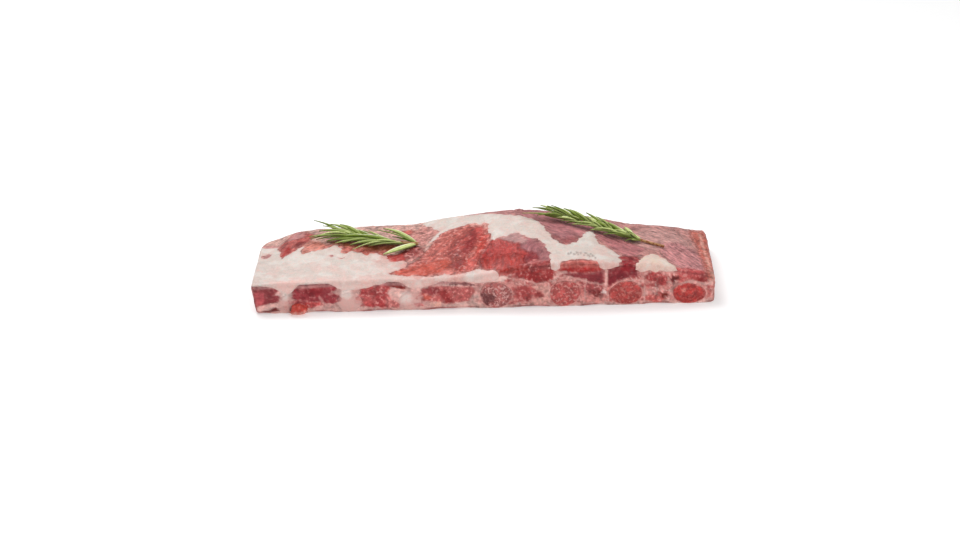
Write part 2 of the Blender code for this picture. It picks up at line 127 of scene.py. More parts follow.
def crown(x, y):
    """Height of the slab's top, before its edge is rounded."""
    front, crest, back = (height_along(x, column) for column in (1, 2, 3))
    depth = np.clip((y - FRONT) / (BACK - FRONT), 0.0, 1.0)
    rising = front + (crest - front) * np.sin(np.pi / 2 * np.minimum(depth / CREST, 1))
    falling = back + (crest - back) * np.cos(np.pi / 2 * (depth - CREST) / (1 - CREST))
    height = np.where(depth < CREST, rising, falling)
    for centre_x, centre_y, half_x, half_y, rise in SWELLINGS:
        height = height + rise * np.exp(-((x - centre_x) / half_x)**2 - ((y - centre_y) / half_y)**2)
    return height + UNEVEN * rough(flat(x, y), UNEVEN_SIZE)


def corner_inset(y, front_radius, back_radius):
    """How far a rounded plan corner draws the end of the slab in at depth y."""
    front_over = np.maximum(FRONT + front_radius - y, 0.0)
    back_over = np.maximum(y - BACK + back_radius, 0.0)
    return (front_radius - np.sqrt(np.maximum(front_radius**2 - front_over**2, 0.0))
            + back_radius - np.sqrt(np.maximum(back_radius**2 - back_over**2, 0.0)))


def end_edges(y):
    """X of the left and right ends of the slab's top at depth y."""
    y = np.clip(y, FRONT, BACK)
    left = LEFT_END + LEFT_LEAN * y + corner_inset(y, CORNERS["front_left"], CORNERS["back_left"])
    left += SLANT * (np.hypot(np.maximum(y - SLANT_FROM, 0.0), SLANT_SOFT) - SLANT_SOFT)
    right = RIGHT_END + RIGHT_LEAN * y
    return left, right - corner_inset(y, CORNERS["front_right"], CORNERS["back_right"])


def edge_drop(distance, radius):
    """How far a rounded edge lies below the surface, this far in from the side."""
    return radius - np.sqrt(radius**2 - (radius - np.clip(distance, 0.0, radius))**2)


def side_distance(x, y):
    """How far in from the nearest side of the slab a place is."""
    left, right = end_edges(y)
    return np.minimum(np.minimum(x - left, right - x), np.minimum(y - FRONT, BACK - y))


def top_height(x, y):
    """The top, rounded at the edge."""
    return crown(x, y) - edge_drop(side_distance(x, y), TOP_EDGE)


def foot_height(x, y):
    """The underside: flat under each rib, arched between them, rounded at the edge."""
    nearest = np.min([np.abs(x - front_x - RIB_LEAN * (y - FRONT)) for _, front_x, *_ in RIBS], axis=0)
    arch = HOLLOW * smooth_step(nearest, REST_HALF, REST_HALF + HOLLOW_RUN)
    return arch + edge_drop(side_distance(x, y), FOOT_EDGE)


def grid_lines(length, edge, cell):
    """Where to put grid lines along a side, as shares of it: closer together on rounded edges."""
    turn = edge * (1 - np.cos(np.linspace(0, np.pi / 2, EDGE_CELLS + 1)))[:-1]
    even = np.linspace(edge, length - edge, max(round((length - 2 * edge) / cell), 1) + 1)
    return np.concatenate([turn, even, length - turn[::-1]]) / length


def block(x_lines, y_lines, z_lines, place):
    """The closed skin of a block on these grid lines; place() puts its corners where they belong."""
    counts = [len(lines) - 1 for lines in (x_lines, y_lines, z_lines)]
    quads = []
    for axis in range(3):
        a, b = (axis + 1) % 3, (axis + 2) % 3
        on_a, on_b = np.meshgrid(np.arange(counts[a]), np.arange(counts[b]), indexing="ij")
        for end in (0, counts[axis]):
            corners = []
            for step_a, step_b in ((0, 0), (1, 0), (1, 1), (0, 1)):
                index = [None, None, None]
                index[axis] = np.full(on_a.shape, end)
                index[a], index[b] = on_a + step_a, on_b + step_b
                corners.append((index[0] * (counts[1] + 1) + index[1]) * (counts[2] + 1) + index[2])
            if end == 0:
                corners.reverse()
            quads.append(np.stack(corners, axis=-1).reshape(-1, 4))
    used, faces = np.unique(np.concatenate(quads), return_inverse=True)
    k = used % (counts[2] + 1)
    j = used // (counts[2] + 1) % (counts[1] + 1)
    i = used // (counts[2] + 1) // (counts[1] + 1)
    return place(x_lines[i], y_lines[j], z_lines[k]), faces.reshape(-1, 4)


def slab_place(low, high, over=0.0):
    """Bends a block to the slab's plan, between two heights; a cutter reaches over its sides."""
    def place(across, along, lift):
        y = FRONT - over + along * (BACK - FRONT + 2 * over)
        left, right = end_edges(y)
        x = left - over + across * (right - left + 2 * over)
        z = low(x, y) + lift * (high(x, y) - low(x, y))
        lean = UNDERCUT * (1 - np.clip(z / crown(x, y), 0.0, 1.0)) * np.clip(1 - across, 0.0, 1.0)
        return np.stack([x + lean, y, z], axis=-1)
    return place


def make(name, points, faces):
    """An object with this mesh, moved from the slab's millimetres to the frame's metres."""
    mesh = bpy.data.meshes.new(name)
    mesh.from_pydata(((np.asarray(points) + CENTRE) * MM).tolist(), [], [list(face) for face in faces])
    mesh.shade_smooth()
    made = bpy.data.objects.new(name, mesh)
    bpy.context.scene.collection.objects.link(made)
    return made


def combine(target, operation, other):
    """Change an object by another one with a Boolean, applied at once."""
    modifier = target.modifiers.new(operation, "BOOLEAN")
    modifier.operation, modifier.object, modifier.solver = operation, other, "MANIFOLD"
    bpy.context.view_layer.update()
    shape = bpy.data.meshes.new_from_object(target.evaluated_get(bpy.context.evaluated_depsgraph_get()))
    target.modifiers.clear()
    target.data = shape


def discard(piece):
    """Take away a cutter once it has done its work."""
    bpy.data.objects.remove(piece)


def ball(centre, half):
    """A closed ball-like lump, uneven all over, as corners and faces."""
    faces, points = [], [(0.0, 0.0, -1.0)]
    sides = 2 * BIT_RINGS
    for row in range(1, BIT_RINGS):
        tilt = math.pi * row / BIT_RINGS
        for step in range(sides):
            turn = 2 * math.pi * step / sides
            points.append((math.sin(tilt) * math.cos(turn), math.sin(tilt) * math.sin(turn),
                           -math.cos(tilt)))
    points.append((0.0, 0.0, 1.0))
    for step in range(sides):
        after = (step + 1) % sides
        faces.append((0, 1 + after, 1 + step))
        for row in range(BIT_RINGS - 2):
            low, high = 1 + row * sides, 1 + (row + 1) * sides
            faces.append((low + step, low + after, high + after, high + step))
        last = 1 + (BIT_RINGS - 2) * sides
        faces.append((len(points) - 1, last + step, last + after))
    points = np.array(points)
    points *= 1 + BIT_UNEVEN * rough(points + centre, 0.8, 3)[:, None]
    return points * half + centre, faces


slab = make("lean_meat", *block(
    grid_lines(RIGHT_END - LEFT_END, TOP_EDGE, CELL), grid_lines(BACK - FRONT, TOP_EDGE, CELL),
    np.linspace(0, 1, LAYERS + 1), slab_place(foot_height, top_height)))
for centre, half in (SHRED, TAG):
    bit = make("bit", *ball(centre, half))
    combine(slab, "UNION", bit)
    discard(bit)

# ---------------------------------------------------------------- layers of fat
# White fat covers the left of the slab and runs across the middle as a torn band, with one
# knob at the front. Each layer is cut out of the slab along a ragged outline, down to its own
# foot, and what is left of the slab is lean meat. Its surface follows after the lean's.
FAT_CAP = [
    (-127, -46), (-127, 16), (-121, 14.8), (-118.6, 12.4), (-115.2, 11.2), (-110.8, 9.8), (-109.6, 4),
    (-109, -1.5), (-108.3, -7), (-106.8, -6.2), (-104.6, -4.4), (-102.5, -2.8), (-99.8, -0.4),
    (-96.4, 1.6), (-98.1, -3.3), (-97, -6.4), (-91.6, -4.8), (-85.7, -4), (-80.6, -1.4), (-78.3, -2.8),
    (-77, -6.7), (-75.8, -10.5), (-72.9, -10.5), (-70.9, -9.2), (-65.8, -11), (-63.5, -13.2),
    (-58.8, -11.5), (-54.8, -14), (-52.6, -15.6), (-52.1, -20), (-48.3, -21.1), (-44.8, -20.6),
    (-42.6, -24.4), (-46, -28.8), (-53.5, -32.8), (-48, -34.4), (-43, -35.4), (-37, -35),
    (-31, -36.6), (-25, -35.2), (-19, -37), (-13, -36.2), (-7, -34.6), (-2.5, -36), (1.4, -37.6),
    (4.0, -39.8), (5.4, -46),
]
FAT_BAND = [
    (-29.6, -3.4), (-27.4, 1), (-25.2, 5), (-24.2, 8), (-25.6, 12), (-27.6, 15.4), (-31, 18.8),
    (-31.2, 25), (-24, 29.5), (-14, 27), (-6, 23.2), (0, 21.6), (7, 19.4), (12, 17.6), (17.5, 15.2),
    (20.6, 14.6), (23.2, 12.2), (26.6, 10.6), (28.8, 7), (31.6, 1), (33.1, -3.8), (33.8, -9),
    (36.3, -14.2), (39, -18), (41.4, -19.4), (44.6, -17.2), (48, -13.2), (50.6, -9.2), (53.2, -5.8),
    (55.8, -1.4), (57.6, 0.6), (58.6, -4.6), (58.6, -9), (60, -14.5), (62.4, -16.4), (64.3, -18.8),
    (67.4, -22.2), (68.8, -26), (67.8, -29.4), (69, -33), (66.8, -39), (66.4, -46), (57.6, -46),
    (57, -39.6), (54.4, -37.2), (51, -36.2), (48.6, -35.4), (45, -36.0), (41.8, -35.6), (38, -37.2),
    (35.4, -39), (34.8, -46), (30.6, -46), (30.6, -38), (31.2, -33), (31.6, -28), (30.5, -22.8),
    (28.6, -17.6), (26.6, -13.6), (23.4, -13.6), (21.2, -11.6), (18.6, -8.2), (15.7, -6.2),
    (13, -7.4), (10.6, -9.2), (7.4, -9), (4.4, -11.6), (2.8, -8.6), (2.4, -3), (2, 3), (1.4, 8.8),
    (-2.4, 9.2), (-6.2, 11.2), (-12.5, 8.6), (-17, 7.2), (-22, 4.2), (-26, 0),
]
FAT_KNOB = [
    (75.8, -46), (76, -39), (77.4, -35), (79.3, -31.8), (80.8, -28), (82.2, -26.7), (85, -22.8),
    (87, -21.6), (89.4, -22.6), (91, -25.6), (92.8, -26.6), (94, -31), (95.4, -34.4),
    (97.6, -38.2), (98, -46),
]
# Slips of lean meat that lie open in the cap: outlines
LEAN_SLIPS = [
    [(-119.6, -1.9), (-117.4, 1.4), (-114.8, 3), (-112.6, 3), (-114.2, 0), (-117.2, -2.8)],
    [(-82.8, -12.6), (-81.6, -11.0), (-80.4, -12.4), (-81.6, -14.0)],
    [(-78.6, -15.4), (-75.8, -14.8), (-74.6, -15.6), (-77, -16.2)],
]
# Along X: how high the foot of the cap stands on the sawn front. Heights on the cuts, here and
# below, are counted from CUT_FOOT, where the thin membrane of the underside ends.
CUT_FOOT = 0.5
CAP_FOOT = np.array([
    (-127, 14.6), (-118, 14.8), (-113.7, 14.5), (-110.4, 12.4), (-108.4, 10.6), (-104.4, 10.6),
    (-102, 12.6), (-99.5, 15.2), (-95.4, 16.1), (-91.2, 16.2), (-84.9, 15.4), (-81.3, 14.2), (-79, 12.4),
    (-74, 11.8), (-69.6, 12), (-67.6, 12.4), (-64, 13.4), (-57.7, 14.4), (-53.4, 15.8), (-48.2, 15.4),
    (-45.2, 14), (-42.6, 12.2), (-39.4, 12), (-36, 12.4), (-31, 13.2), (-26, 15), (-17, 15.2),
    (-7, 13.8), (0, 14.2), (2.5, 15.2), (5, 17.4), (7, 19),
])
# The same for the two legs of the band and for the knob
BAND_FOOT = np.array([
    (28, 20.6), (31, 20.8), (33.2, 19.8), (35.6, 21.4), (40, 22.4), (54, 22.2), (56.4, 20.9), (58.6, 19.6),
    (60, 20.2), (61.6, 19.6), (63.6, 20.4), (65.6, 21.4), (68, 21.8),
])
KNOB_FOOT = np.array([
    (74, 19.4), (76.5, 19.0), (77.8, 17.4), (80.2, 18.0), (82.8, 18.9), (85.5, 17.6), (88, 18.5),
    (90, 17.8), (92.3, 17.6), (95.5, 17.6), (98, 18.0),
])
FRONT_FEET = {"fat_cap": CAP_FOOT, "fat_band": BAND_FOOT, "fat_knob": KNOB_FOOT}
FOOT_RUN = (3.0, 9.0)       # behind the front, where a foot turns to its own depth
THINNEST = 0.8              # of a layer on the sawn front
# Name, outline, depth at the left and at the right end, rise over the meat
FATS = [
    ("fat_cap", FAT_CAP, 2.2, 4.6, 0.35), ("fat_band", FAT_BAND, 2.6, 2.6, 0.5),
    ("fat_knob", FAT_KNOB, 3.2, 3.2, 1.1),
]
DEEPER = (-34.0, 2.0)       # along X, where the one depth gives way to the other
TORN, TORN_SIZE = 1.25, 2.4     # how far a torn edge strays, and how wide its tatters are
RAGGED_FOOT = 0.7           # how far the underside of the fat strays on the sawn front
OVER, FAR_OVER = 5.0, 60.0  # how far a cutter reaches past what it cuts, and well over the slab
CUTTER_CELLS = (0.8, 3.0)   # size of a cutter's cells along X and Y
POINT_GAP = 0.8             # between the points of an outline
BATCH = 4000                # points worked out at a time


def curve(p0, p1, p2, p3, t):
    """The smooth way from p1 to p2, a share t along it, between the points before and after."""
    return (2 * p1 + (p2 - p0) * t + (2 * p0 - 5 * p1 + 4 * p2 - p3) * t**2
            + (3 * p1 - p0 - 3 * p2 + p3) * t**3) / 2


def soft_outline(points):
    """A closed smooth line through points."""
    points = np.array(points, float)
    before, after, next_after = (np.roll(points, shift, axis=0) for shift in (1, -1, -2))
    line = []
    for p0, p1, p2, p3 in zip(before, points, after, next_after):
        steps = max(round(np.linalg.norm(p2 - p1) / POINT_GAP), 1)
        line.append(curve(p0, p1, p2, p3, (np.arange(steps) / steps)[:, None]))
    return np.concatenate(line)


def torn_outline(points):
    """The soft outline, strayed from at random as torn fat does."""
    line = soft_outline(points)
    place = flat(*line.T)
    stray = np.stack([rough(place, TORN_SIZE, 4, seed) for seed in (0.5, 7.5)], axis=1)
    return line + TORN * stray


def inside(outline, a, b):
    """How far the points (a, b) lie inside a closed outline; negative outside."""
    start = np.asarray(outline, float)
    run = np.roll(start, -1, axis=0) - start
    end_b = start[:, 1] + run[:, 1]
    level = np.where(run[:, 1] == 0, 1e-9, run[:, 1])
    found = []
    for low in range(0, len(a), BATCH):
        off_a = a[low:low + BATCH, None] - start[:, 0]
        off_b = b[low:low + BATCH, None] - start[:, 1]
        t = np.clip((off_a * run[:, 0] + off_b * run[:, 1]) / (run**2).sum(axis=1), 0, 1)
        gap = np.hypot(off_a - t * run[:, 0], off_b - t * run[:, 1]).min(axis=1)
        crosses = (off_b < 0) != (b[low:low + BATCH, None] < end_b)
        odd = (crosses & (off_a < off_b * run[:, 0] / level)).sum(axis=1) % 2 == 1
        found.append(np.where(odd, gap, -gap))
    return np.concatenate(found)


def prism(outline, low, high):
    """A straight-sided solid on an outline, as corners and faces."""
    count = len(outline)
    points = [(x, y, z) for z in (low, high) for x, y in outline]
    area = np.sum(outline[:, 0] * np.roll(outline[:, 1], -1) - outline[:, 1] * np.roll(outline[:, 0], -1))
    ring = list(range(count)) if area > 0 else list(range(count))[::-1]
    sides = [(a, b, b + count, a + count) for a, b in zip(ring, ring[1:] + ring[:1])]
    return points, [ring[::-1], [a + count for a in ring]] + sides


def layer_foot(name, left_depth, right_depth):
    """Height of the underside of a layer of fat over the slab."""
    def foot(x, y):
        depth = left_depth + (right_depth - left_depth) * smooth_step(x, *DEEPER)
        near = 1 - smooth_step(y, FRONT + FOOT_RUN[0], FRONT + FOOT_RUN[1])
        line = np.interp(x, *FRONT_FEET[name].T) + CUT_FOOT + RAGGED_FOOT * rough(flat(x, y), 3.4, 3, 3.5)
        height = top_height(x, y) - depth
        return height + (np.minimum(line, crown(x, y) - THINNEST) - height) * near
    return foot


def pocket_top(x, y):
    """Where a cutter of fat ends, well clear of the top."""
    return top_height(x, y) + OVER


lip_outlines, feet, fats = {}, {}, {}
for name, outline, left_depth, right_depth, rise in FATS:
    lip_outlines[name] = torn_outline(outline)
    feet[name] = layer_foot(name, left_depth, right_depth)
    cutter = make(name + "_cutter", *block(
        grid_lines(RIGHT_END - LEFT_END, TOP_EDGE, CUTTER_CELLS[0]),
        grid_lines(BACK - FRONT, TOP_EDGE, CUTTER_CELLS[1]),
        np.array([0.0, 1.0]), slab_place(feet[name], pocket_top, OVER)))
    shape = make(name + "_shape", *prism(lip_outlines[name], -OVER, FAR_OVER))
    combine(cutter, "INTERSECT", shape)
    if name == "fat_cap":
        for slip in LEAN_SLIPS:
            hole = make("slip", *prism(torn_outline(slip), -OVER, FAR_OVER))
            combine(cutter, "DIFFERENCE", hole)
            discard(hole)
    layer = slab.copy()
    layer.data = slab.data.copy()
    layer.name = "white_" + name
    bpy.context.scene.collection.objects.link(layer)
    combine(layer, "INTERSECT", cutter)
    combine(slab, "DIFFERENCE", cutter)
    discard(cutter)
    discard(shape)
    fats[name] = layer

# ---------------------------------------------------------------- ribs
# Seven ribs run through the slab from the front cut to the back: three of white cartilage on the
# left, where the ribs end, and four of bone with red marrow. Each shows an uneven oval sawn end,
# and fits in a tunnel through the slab. Their surface follows after the fat's.
RIB_SIDES, CAP_RINGS = 96, 20
RIB_EDGE = 0.1              # how far the rim of the sawn end is rounded
RIB_CLEAR = 0.03            # between a rib and its tunnel
DOME = 0.6                  # how much of a rib's standing proud is lost at its rim
MIDDLE = [FRONT + 1, -20, 0, 20, BACK - 1]      # depths of the rings between the two ends


def tube_faces(rings, sides, first):
    """Quads between rings of corners, with both ends closed."""
    last = first + (rings - 1) * sides
    faces = [[first + i for i in range(sides)][::-1], [last + i for i in range(sides)]]
    for ring in range(rings - 1):
        low, high = first + ring * sides, first + (ring + 1) * sides
        for i in range(sides):
            after = (i + 1) % sides
            faces.append((low + i, low + after, high + after, high + i))
    return faces


def rib_rod(front_x, width, height, proud, grow=0.0):
    """An oval rod right through the slab, as corners, faces and how near each corner is its rim."""
    shares = np.linspace(0.05, 1.0, CAP_RINGS)
    drop = edge_drop((1 - shares) * height / 2, RIB_EDGE) + DOME * proud * shares**2
    reach = proud + (OVER if grow else 0.0)
    depths = np.concatenate([FRONT - reach + drop, MIDDLE, (BACK + reach - drop)[::-1]])
    shares = np.concatenate([shares, np.ones(len(MIDDLE)), shares[::-1]])
    turn = np.arange(RIB_SIDES) / RIB_SIDES * 2 * np.pi
    uneven = 1 + 0.04 * np.sin(2 * turn + front_x) + 0.03 * np.sin(3 * turn + front_x / 2)
    points, rims = [], []
    for depth, share in zip(depths, shares):
        size = 1 - (1 - RIB_TAPER) * (depth - FRONT) / (BACK - FRONT)
        across = share * np.cos(turn) * (width / 2 * uneven * size + grow)
        across += front_x + RIB_LEAN * (depth - FRONT)
        up = share * np.sin(turn) * (height / 2 * uneven * size + grow) + RIB_FLOOR + height / 2 * size
        points.append(np.stack([across, np.full(RIB_SIDES, depth), up], axis=-1))
        rims.append(np.full(RIB_SIDES, share))
    faces = [face[::-1] for face in tube_faces(len(depths), RIB_SIDES, 0)]
    return np.concatenate(points), faces, np.concatenate(rims)


ribs, rib_rims = {}, {}
for name, front_x, width, height, proud in RIBS:
    tunnel = make("tunnel", *rib_rod(front_x, width, height, proud, RIB_CLEAR)[:2])
    combine(slab, "DIFFERENCE", tunnel)
    if name == "bone_1":
        combine(fats["fat_cap"], "DIFFERENCE", tunnel)
    discard(tunnel)
    points, faces, rib_rims[name] = rib_rod(front_x, width, height, proud)
    ribs[name] = make("sawn_" + name, points, faces)

# ---------------------------------------------------------------- lean meat
# Lean pork in several muscles, each with its own colour and run of fibres: mauve and silky where
# the membrane is still on, red and fibrous where it was pulled off. The sawn sides show dark red
# muscle between the ribs in pale connective tissue. The underside has a thin pink membrane.
SKIN = 0.4                  # a point deeper than this under a side no longer belongs to it
ALONG_FIBRES = 0.22         # how much slower the grain changes along the fibres than across them
GLOSS = 0.010               # how much the moist surface adds to every colour
SHARP = math.radians(50)    # an edge that turns more than this stays sharp
FAR = 99.0                  # more than any distance here
# Colour, run of the fibres in degrees, softness of the edge, flecks, pale and dark streaks, and
# outline seen from above
MUSCLES = [
    ((0.62, 0.370, 0.320), 42, 2.0, 0.3, 0.8, [
        (-130, -4), (-112, 3), (-106, -8), (-98, -4), (-85, -4), (-76, -14), (-52, -18), (-44, -24),
        (-30, -20), (-24, 0), (-24, 20), (-31, 28), (-60, 46), (-100, 46), (-130, 46)]),
    ((0.43, 0.094, 0.080), 45, 1.0, 0.25, 0.8, [
        (-110, 9), (-109, 12), (-107, 15), (-104, 20), (-99, 26), (-93, 19), (-90, 14), (-93, 7), (-96, 2),
        (-99, -2), (-103, -4), (-107, -8), (-109.6, -8), (-110.4, 2)]),
    ((0.54, 0.240, 0.230), 40, 1.6, 0.1, 0.5, [
        (-105, 17), (-102, 22), (-99, 25), (-95, 20), (-97, 13), (-104, 13), (-107, 14)]),
    ((0.185, 0.006, 0.006), 45, 1.6, 0.1, 0.2, [(-101, 6), (-99, 9), (-96, 7), (-96.5, 0), (-101, -1)]),
    ((0.31, 0.005, 0.004), 50, 1.0, 0.05, 0.15, [
        (-109.5, 5), (-106, 8), (-104, 4), (-103, -2), (-106, -6), (-108, -9), (-109.5, -9), (-110, 1)]),
    ((0.58, 0.270, 0.260), 30, 0.8, 0.2, 0.4, [
        (-120, 11), (-120, 16), (-113, 15), (-109, 10.5), (-112, 9)]),
    ((0.60, 0.200, 0.150), 35, 1.4, 0.4, 0.6, [
        (-98, 2), (-93, 6), (-87, 4), (-84, -1), (-86, -6), (-92, -7), (-98, -7)]),
    ((0.49, 0.110, 0.082), 18, 0.9, 0.5, 0.6, [
        (-88, -6), (-84, 1), (-76, -2), (-70, -4), (-60, -6), (-52, -8), (-52, -13), (-62, -16),
        (-70, -12), (-78, -13), (-81, -5)]),
    ((0.42, 0.120, 0.060), 25, 1.5, 0.3, 0.6, [
        (-84, 4), (-70, 3), (-56, 0), (-46, -4), (-46, -10), (-56, -9), (-68, -6), (-80, -1)]),
    ((0.68, 0.385, 0.335), 40, 1.6, 0.6, 0.9, [
        (-54, 26), (-30, 19), (-27, 10), (-31, -5), (-36, -5), (-42, 3), (-50, 8)]),
    ((0.50, 0.120, 0.095), 45, 1.2, 0.3, 0.7, [(-45, 15), (-38, 15), (-37, 6), (-44, 7)]),
    ((0.46, 0.100, 0.080), 50, 1.0, 0.3, 0.7, [(-34, 15), (-29.5, 14), (-30.5, 8), (-34, 7)]),
    ((0.31, 0.054, 0.048), 40, 1.4, 0.9, 0.5, [
        (-47, -13), (-38, -7), (-33, -10), (-33, -18), (-39, -21), (-45, -20)]),
    ((0.47, 0.034, 0.028), 10, 0.8, 0.1, 0.2, [
        (-54, -14), (-45, -14), (-43.5, -21), (-48, -23), (-54, -22)]),
    ((0.56, 0.240, 0.210), 50, 1.6, 1.0, 0.5, [
        (-42, 4), (-35, 14), (-31, 19), (-24.8, 12.8), (-23.6, 6.8), (-29.4, -0.1), (-34.4, -12.3),
        (-40.1, -21.5), (-45, -25), (-42, -20), (-35, -16), (-34, -8), (-37, -4)]),
    ((0.50, 0.115, 0.092), 50, 1.0, 0.75, 0.4, [
        (-53, -31), (-45, -26.9), (-38.9, -22.9), (-32.3, -14.1), (-26.8, -2.2), (-22.7, 4.2),
        (-12.5, 8.8), (-6.2, 11.5), (2.4, 9), (2.6, -5.6), (1.3, -10.6), (-4.8, -26.1), (-6.1, -36),
        (-13, -40), (-34.7, -36), (-45.3, -34)]),
    ((0.41, 0.068, 0.058), 52, 3.0, 0.6, 0.6, [
        (-2, 5), (-8, 5), (-15, -4), (-22, -18), (-20, -25), (-13, -25), (-8, -17), (-3, -8)]),
    ((0.29, 0.020, 0.020), 52, 1.6, 0.2, 0.3, [
        (-7, 1), (-3.5, 4), (-3, -3), (-6, -10), (-8, -17), (-11, -22), (-14, -20), (-12, -13), (-9, -6)]),
    ((0.56, 0.080, 0.068), 52, 1.0, 0.2, 0.3, [(-4.5, 5), (-0.8, 6), (-1, -2), (-4, -7), (-5, -1)]),
    ((0.56, 0.082, 0.050), 22, 1.4, 0.25, 0.3, [
        (-54, -32.6), (-44, -28.6), (-37, -25.4), (-30, -25.6), (-24, -24), (-19, -28), (-19, -32.5),
        (-25, -35), (-32, -35.4), (-43, -36)]),
    ((0.31, 0.034, 0.030), 50, 1.4, 0.6, 0.4, [
        (-21, -29), (-17, -26), (-13, -24), (-12, -28), (-15, -32.5), (-19, -33)]),
    ((0.57, 0.076, 0.058), 62, 1.2, 0.8, 0.3, [
        (1.5, -3), (2, -11), (-3, -20), (-5, -26), (-7, -34), (-11, -36), (-16, -34.5), (-12, -28),
        (-8.5, -24), (-6, -19), (-4.5, -9), (-1.5, -3)]),
    ((0.78, 0.340, 0.290), 70, 1.0, 0.5, 0.4, [
        (-10, 11), (-1, 11), (3, 9.5), (3, 3), (0.5, 3), (-1, 7), (-7, 8)]),
    ((0.75, 0.190, 0.155), 10, 0.8, 0.4, 0.2, [
        (-24, -32), (-19, -32), (-18, -35.4), (-23, -37), (-28, -35)]),
    ((0.46, 0.046, 0.040), 84, 0.8, 0.15, 0.35, [
        (1.9, -11), (10.6, -8), (15.7, -5), (21.8, -11), (27.2, -12), (30.8, -20), (33, -34), (34, -46),
        (10, -46), (-3.8, -36.5), (-5.5, -27)]),
    ((0.39, 0.025, 0.018), 84, 2.0, 0.15, 0.4, [
        (-5, -27), (3, -25), (12, -28), (18, -31), (18, -38), (8, -40), (-3, -36)]),
    ((0.40, 0.145, 0.155), 62, 1.6, 0.1, 0.35, [
        (18, -13), (25, -11), (31, -14), (32, -27), (32, -35), (26, -38), (24, -34), (20, -28), (16, -24)]),
    ((0.51, 0.275, 0.265), 20, 1.4, 0.1, 0.25, [
        (6, -10), (10, -7), (15.7, -4), (20, -9), (21, -16), (19, -21), (13, -17.5), (8, -13)]),
    ((0.27, 0.026, 0.032), 60, 1.2, 0.1, 0.3, [
        (18, -32), (22, -28), (25, -30), (25, -35), (20, -37), (17, -36)]),
    ((0.56, 0.150, 0.145), 10, 0.4, 0.3, 0.2, [
        (14, -38), (19, -37), (23, -34.6), (26.5, -36.2), (25, -37.6), (18, -38.6)]),
    ((0.31, 0.055, 0.055), 80, 1.0, 0.9, 0.3, [
        (20, -39), (26, -38), (31, -37.5), (33, -40), (34, -46), (16, -46)]),
    ((0.44, 0.170, 0.180), -40, 1.0, 0.1, 0.5, [
        (28.6, 7.4), (33.1, -4.5), (36.1, -15), (41.4, -20), (48, -14.4), (53.2, -7), (58.3, 0), (63, 8.1),
        (60, 20), (40, 27), (25, 23), (18, 15)]),
    ((0.37, 0.100, 0.105), -30, 1.6, 0.1, 0.4, [
        (33, -5), (36, -13), (41.4, -19.5), (48, -14), (52, -8), (46, -10), (40, -13)]),
    ((0.52, 0.120, 0.100), 5, 0.8, 0.3, 0.4, [
        (33, -46), (34, -39.4), (41.8, -35.4), (53.3, -36.4), (59.6, -39.4), (59.6, -46)]),
    ((0.50, 0.232, 0.212), -50, 1.0, 0.15, 0.9, [
        (57.5, -4), (60, -15), (64, -19), (68, -23), (69, -33), (60, -46), (130, -46), (130, 46), (50, 46),
        (56, 20), (62, 8)]),
    ((0.56, 0.300, 0.276), -32, 4.0, 0.2, 0.9, [
        (78, 4), (88, 20), (106, 20), (112, 2), (108, -8), (94, -16), (84, -14), (74, -8)]),
    ((0.48, 0.178, 0.184), -40, 2.0, 0.1, 0.6, [
        (57, -4), (63, 4), (70, -1), (78, -9), (84, -14), (78, -26), (71, -27), (68, -21), (62, -12)]),
    ((0.29, 0.014, 0.022), -75, 1.2, 0.25, 0.5, [
        (66, -29), (71, -26), (79, -26.5), (78.6, -36), (78, -46), (57, -46)]),
    ((0.53, 0.225, 0.226), -62, 3.0, 0.25, 1.0, [
        (94, -3), (104, 0), (112, -8), (117, -18), (114, -36), (106, -40), (97, -35), (92, -23)]),
    ((0.45, 0.080, 0.080), -40, 1.2, 0.5, 0.6, [
        (95.5, -46), (96.6, -37), (104, -35.5), (113, -36), (124, -34), (128, -46)]),
    ((0.52, 0.140, 0.105), 60, 2.0, 0.6, 0.5, [
        (113.2, -46), (113, -30), (114.6, 0), (113.5, 12), (115, 24), (119, 46), (134, 46), (134, -46)]),
    ((0.78, 0.380, 0.310), 80, 1.0, 0.5, 0.5, [
        (115.6, -46), (115.8, -30), (117.6, 0), (119.4, 20), (120.4, 20), (118.8, 0), (117.4, -30),
        (117.4, -46)]),
]
TOP_BASE = (0.46, 0.200, 0.195)
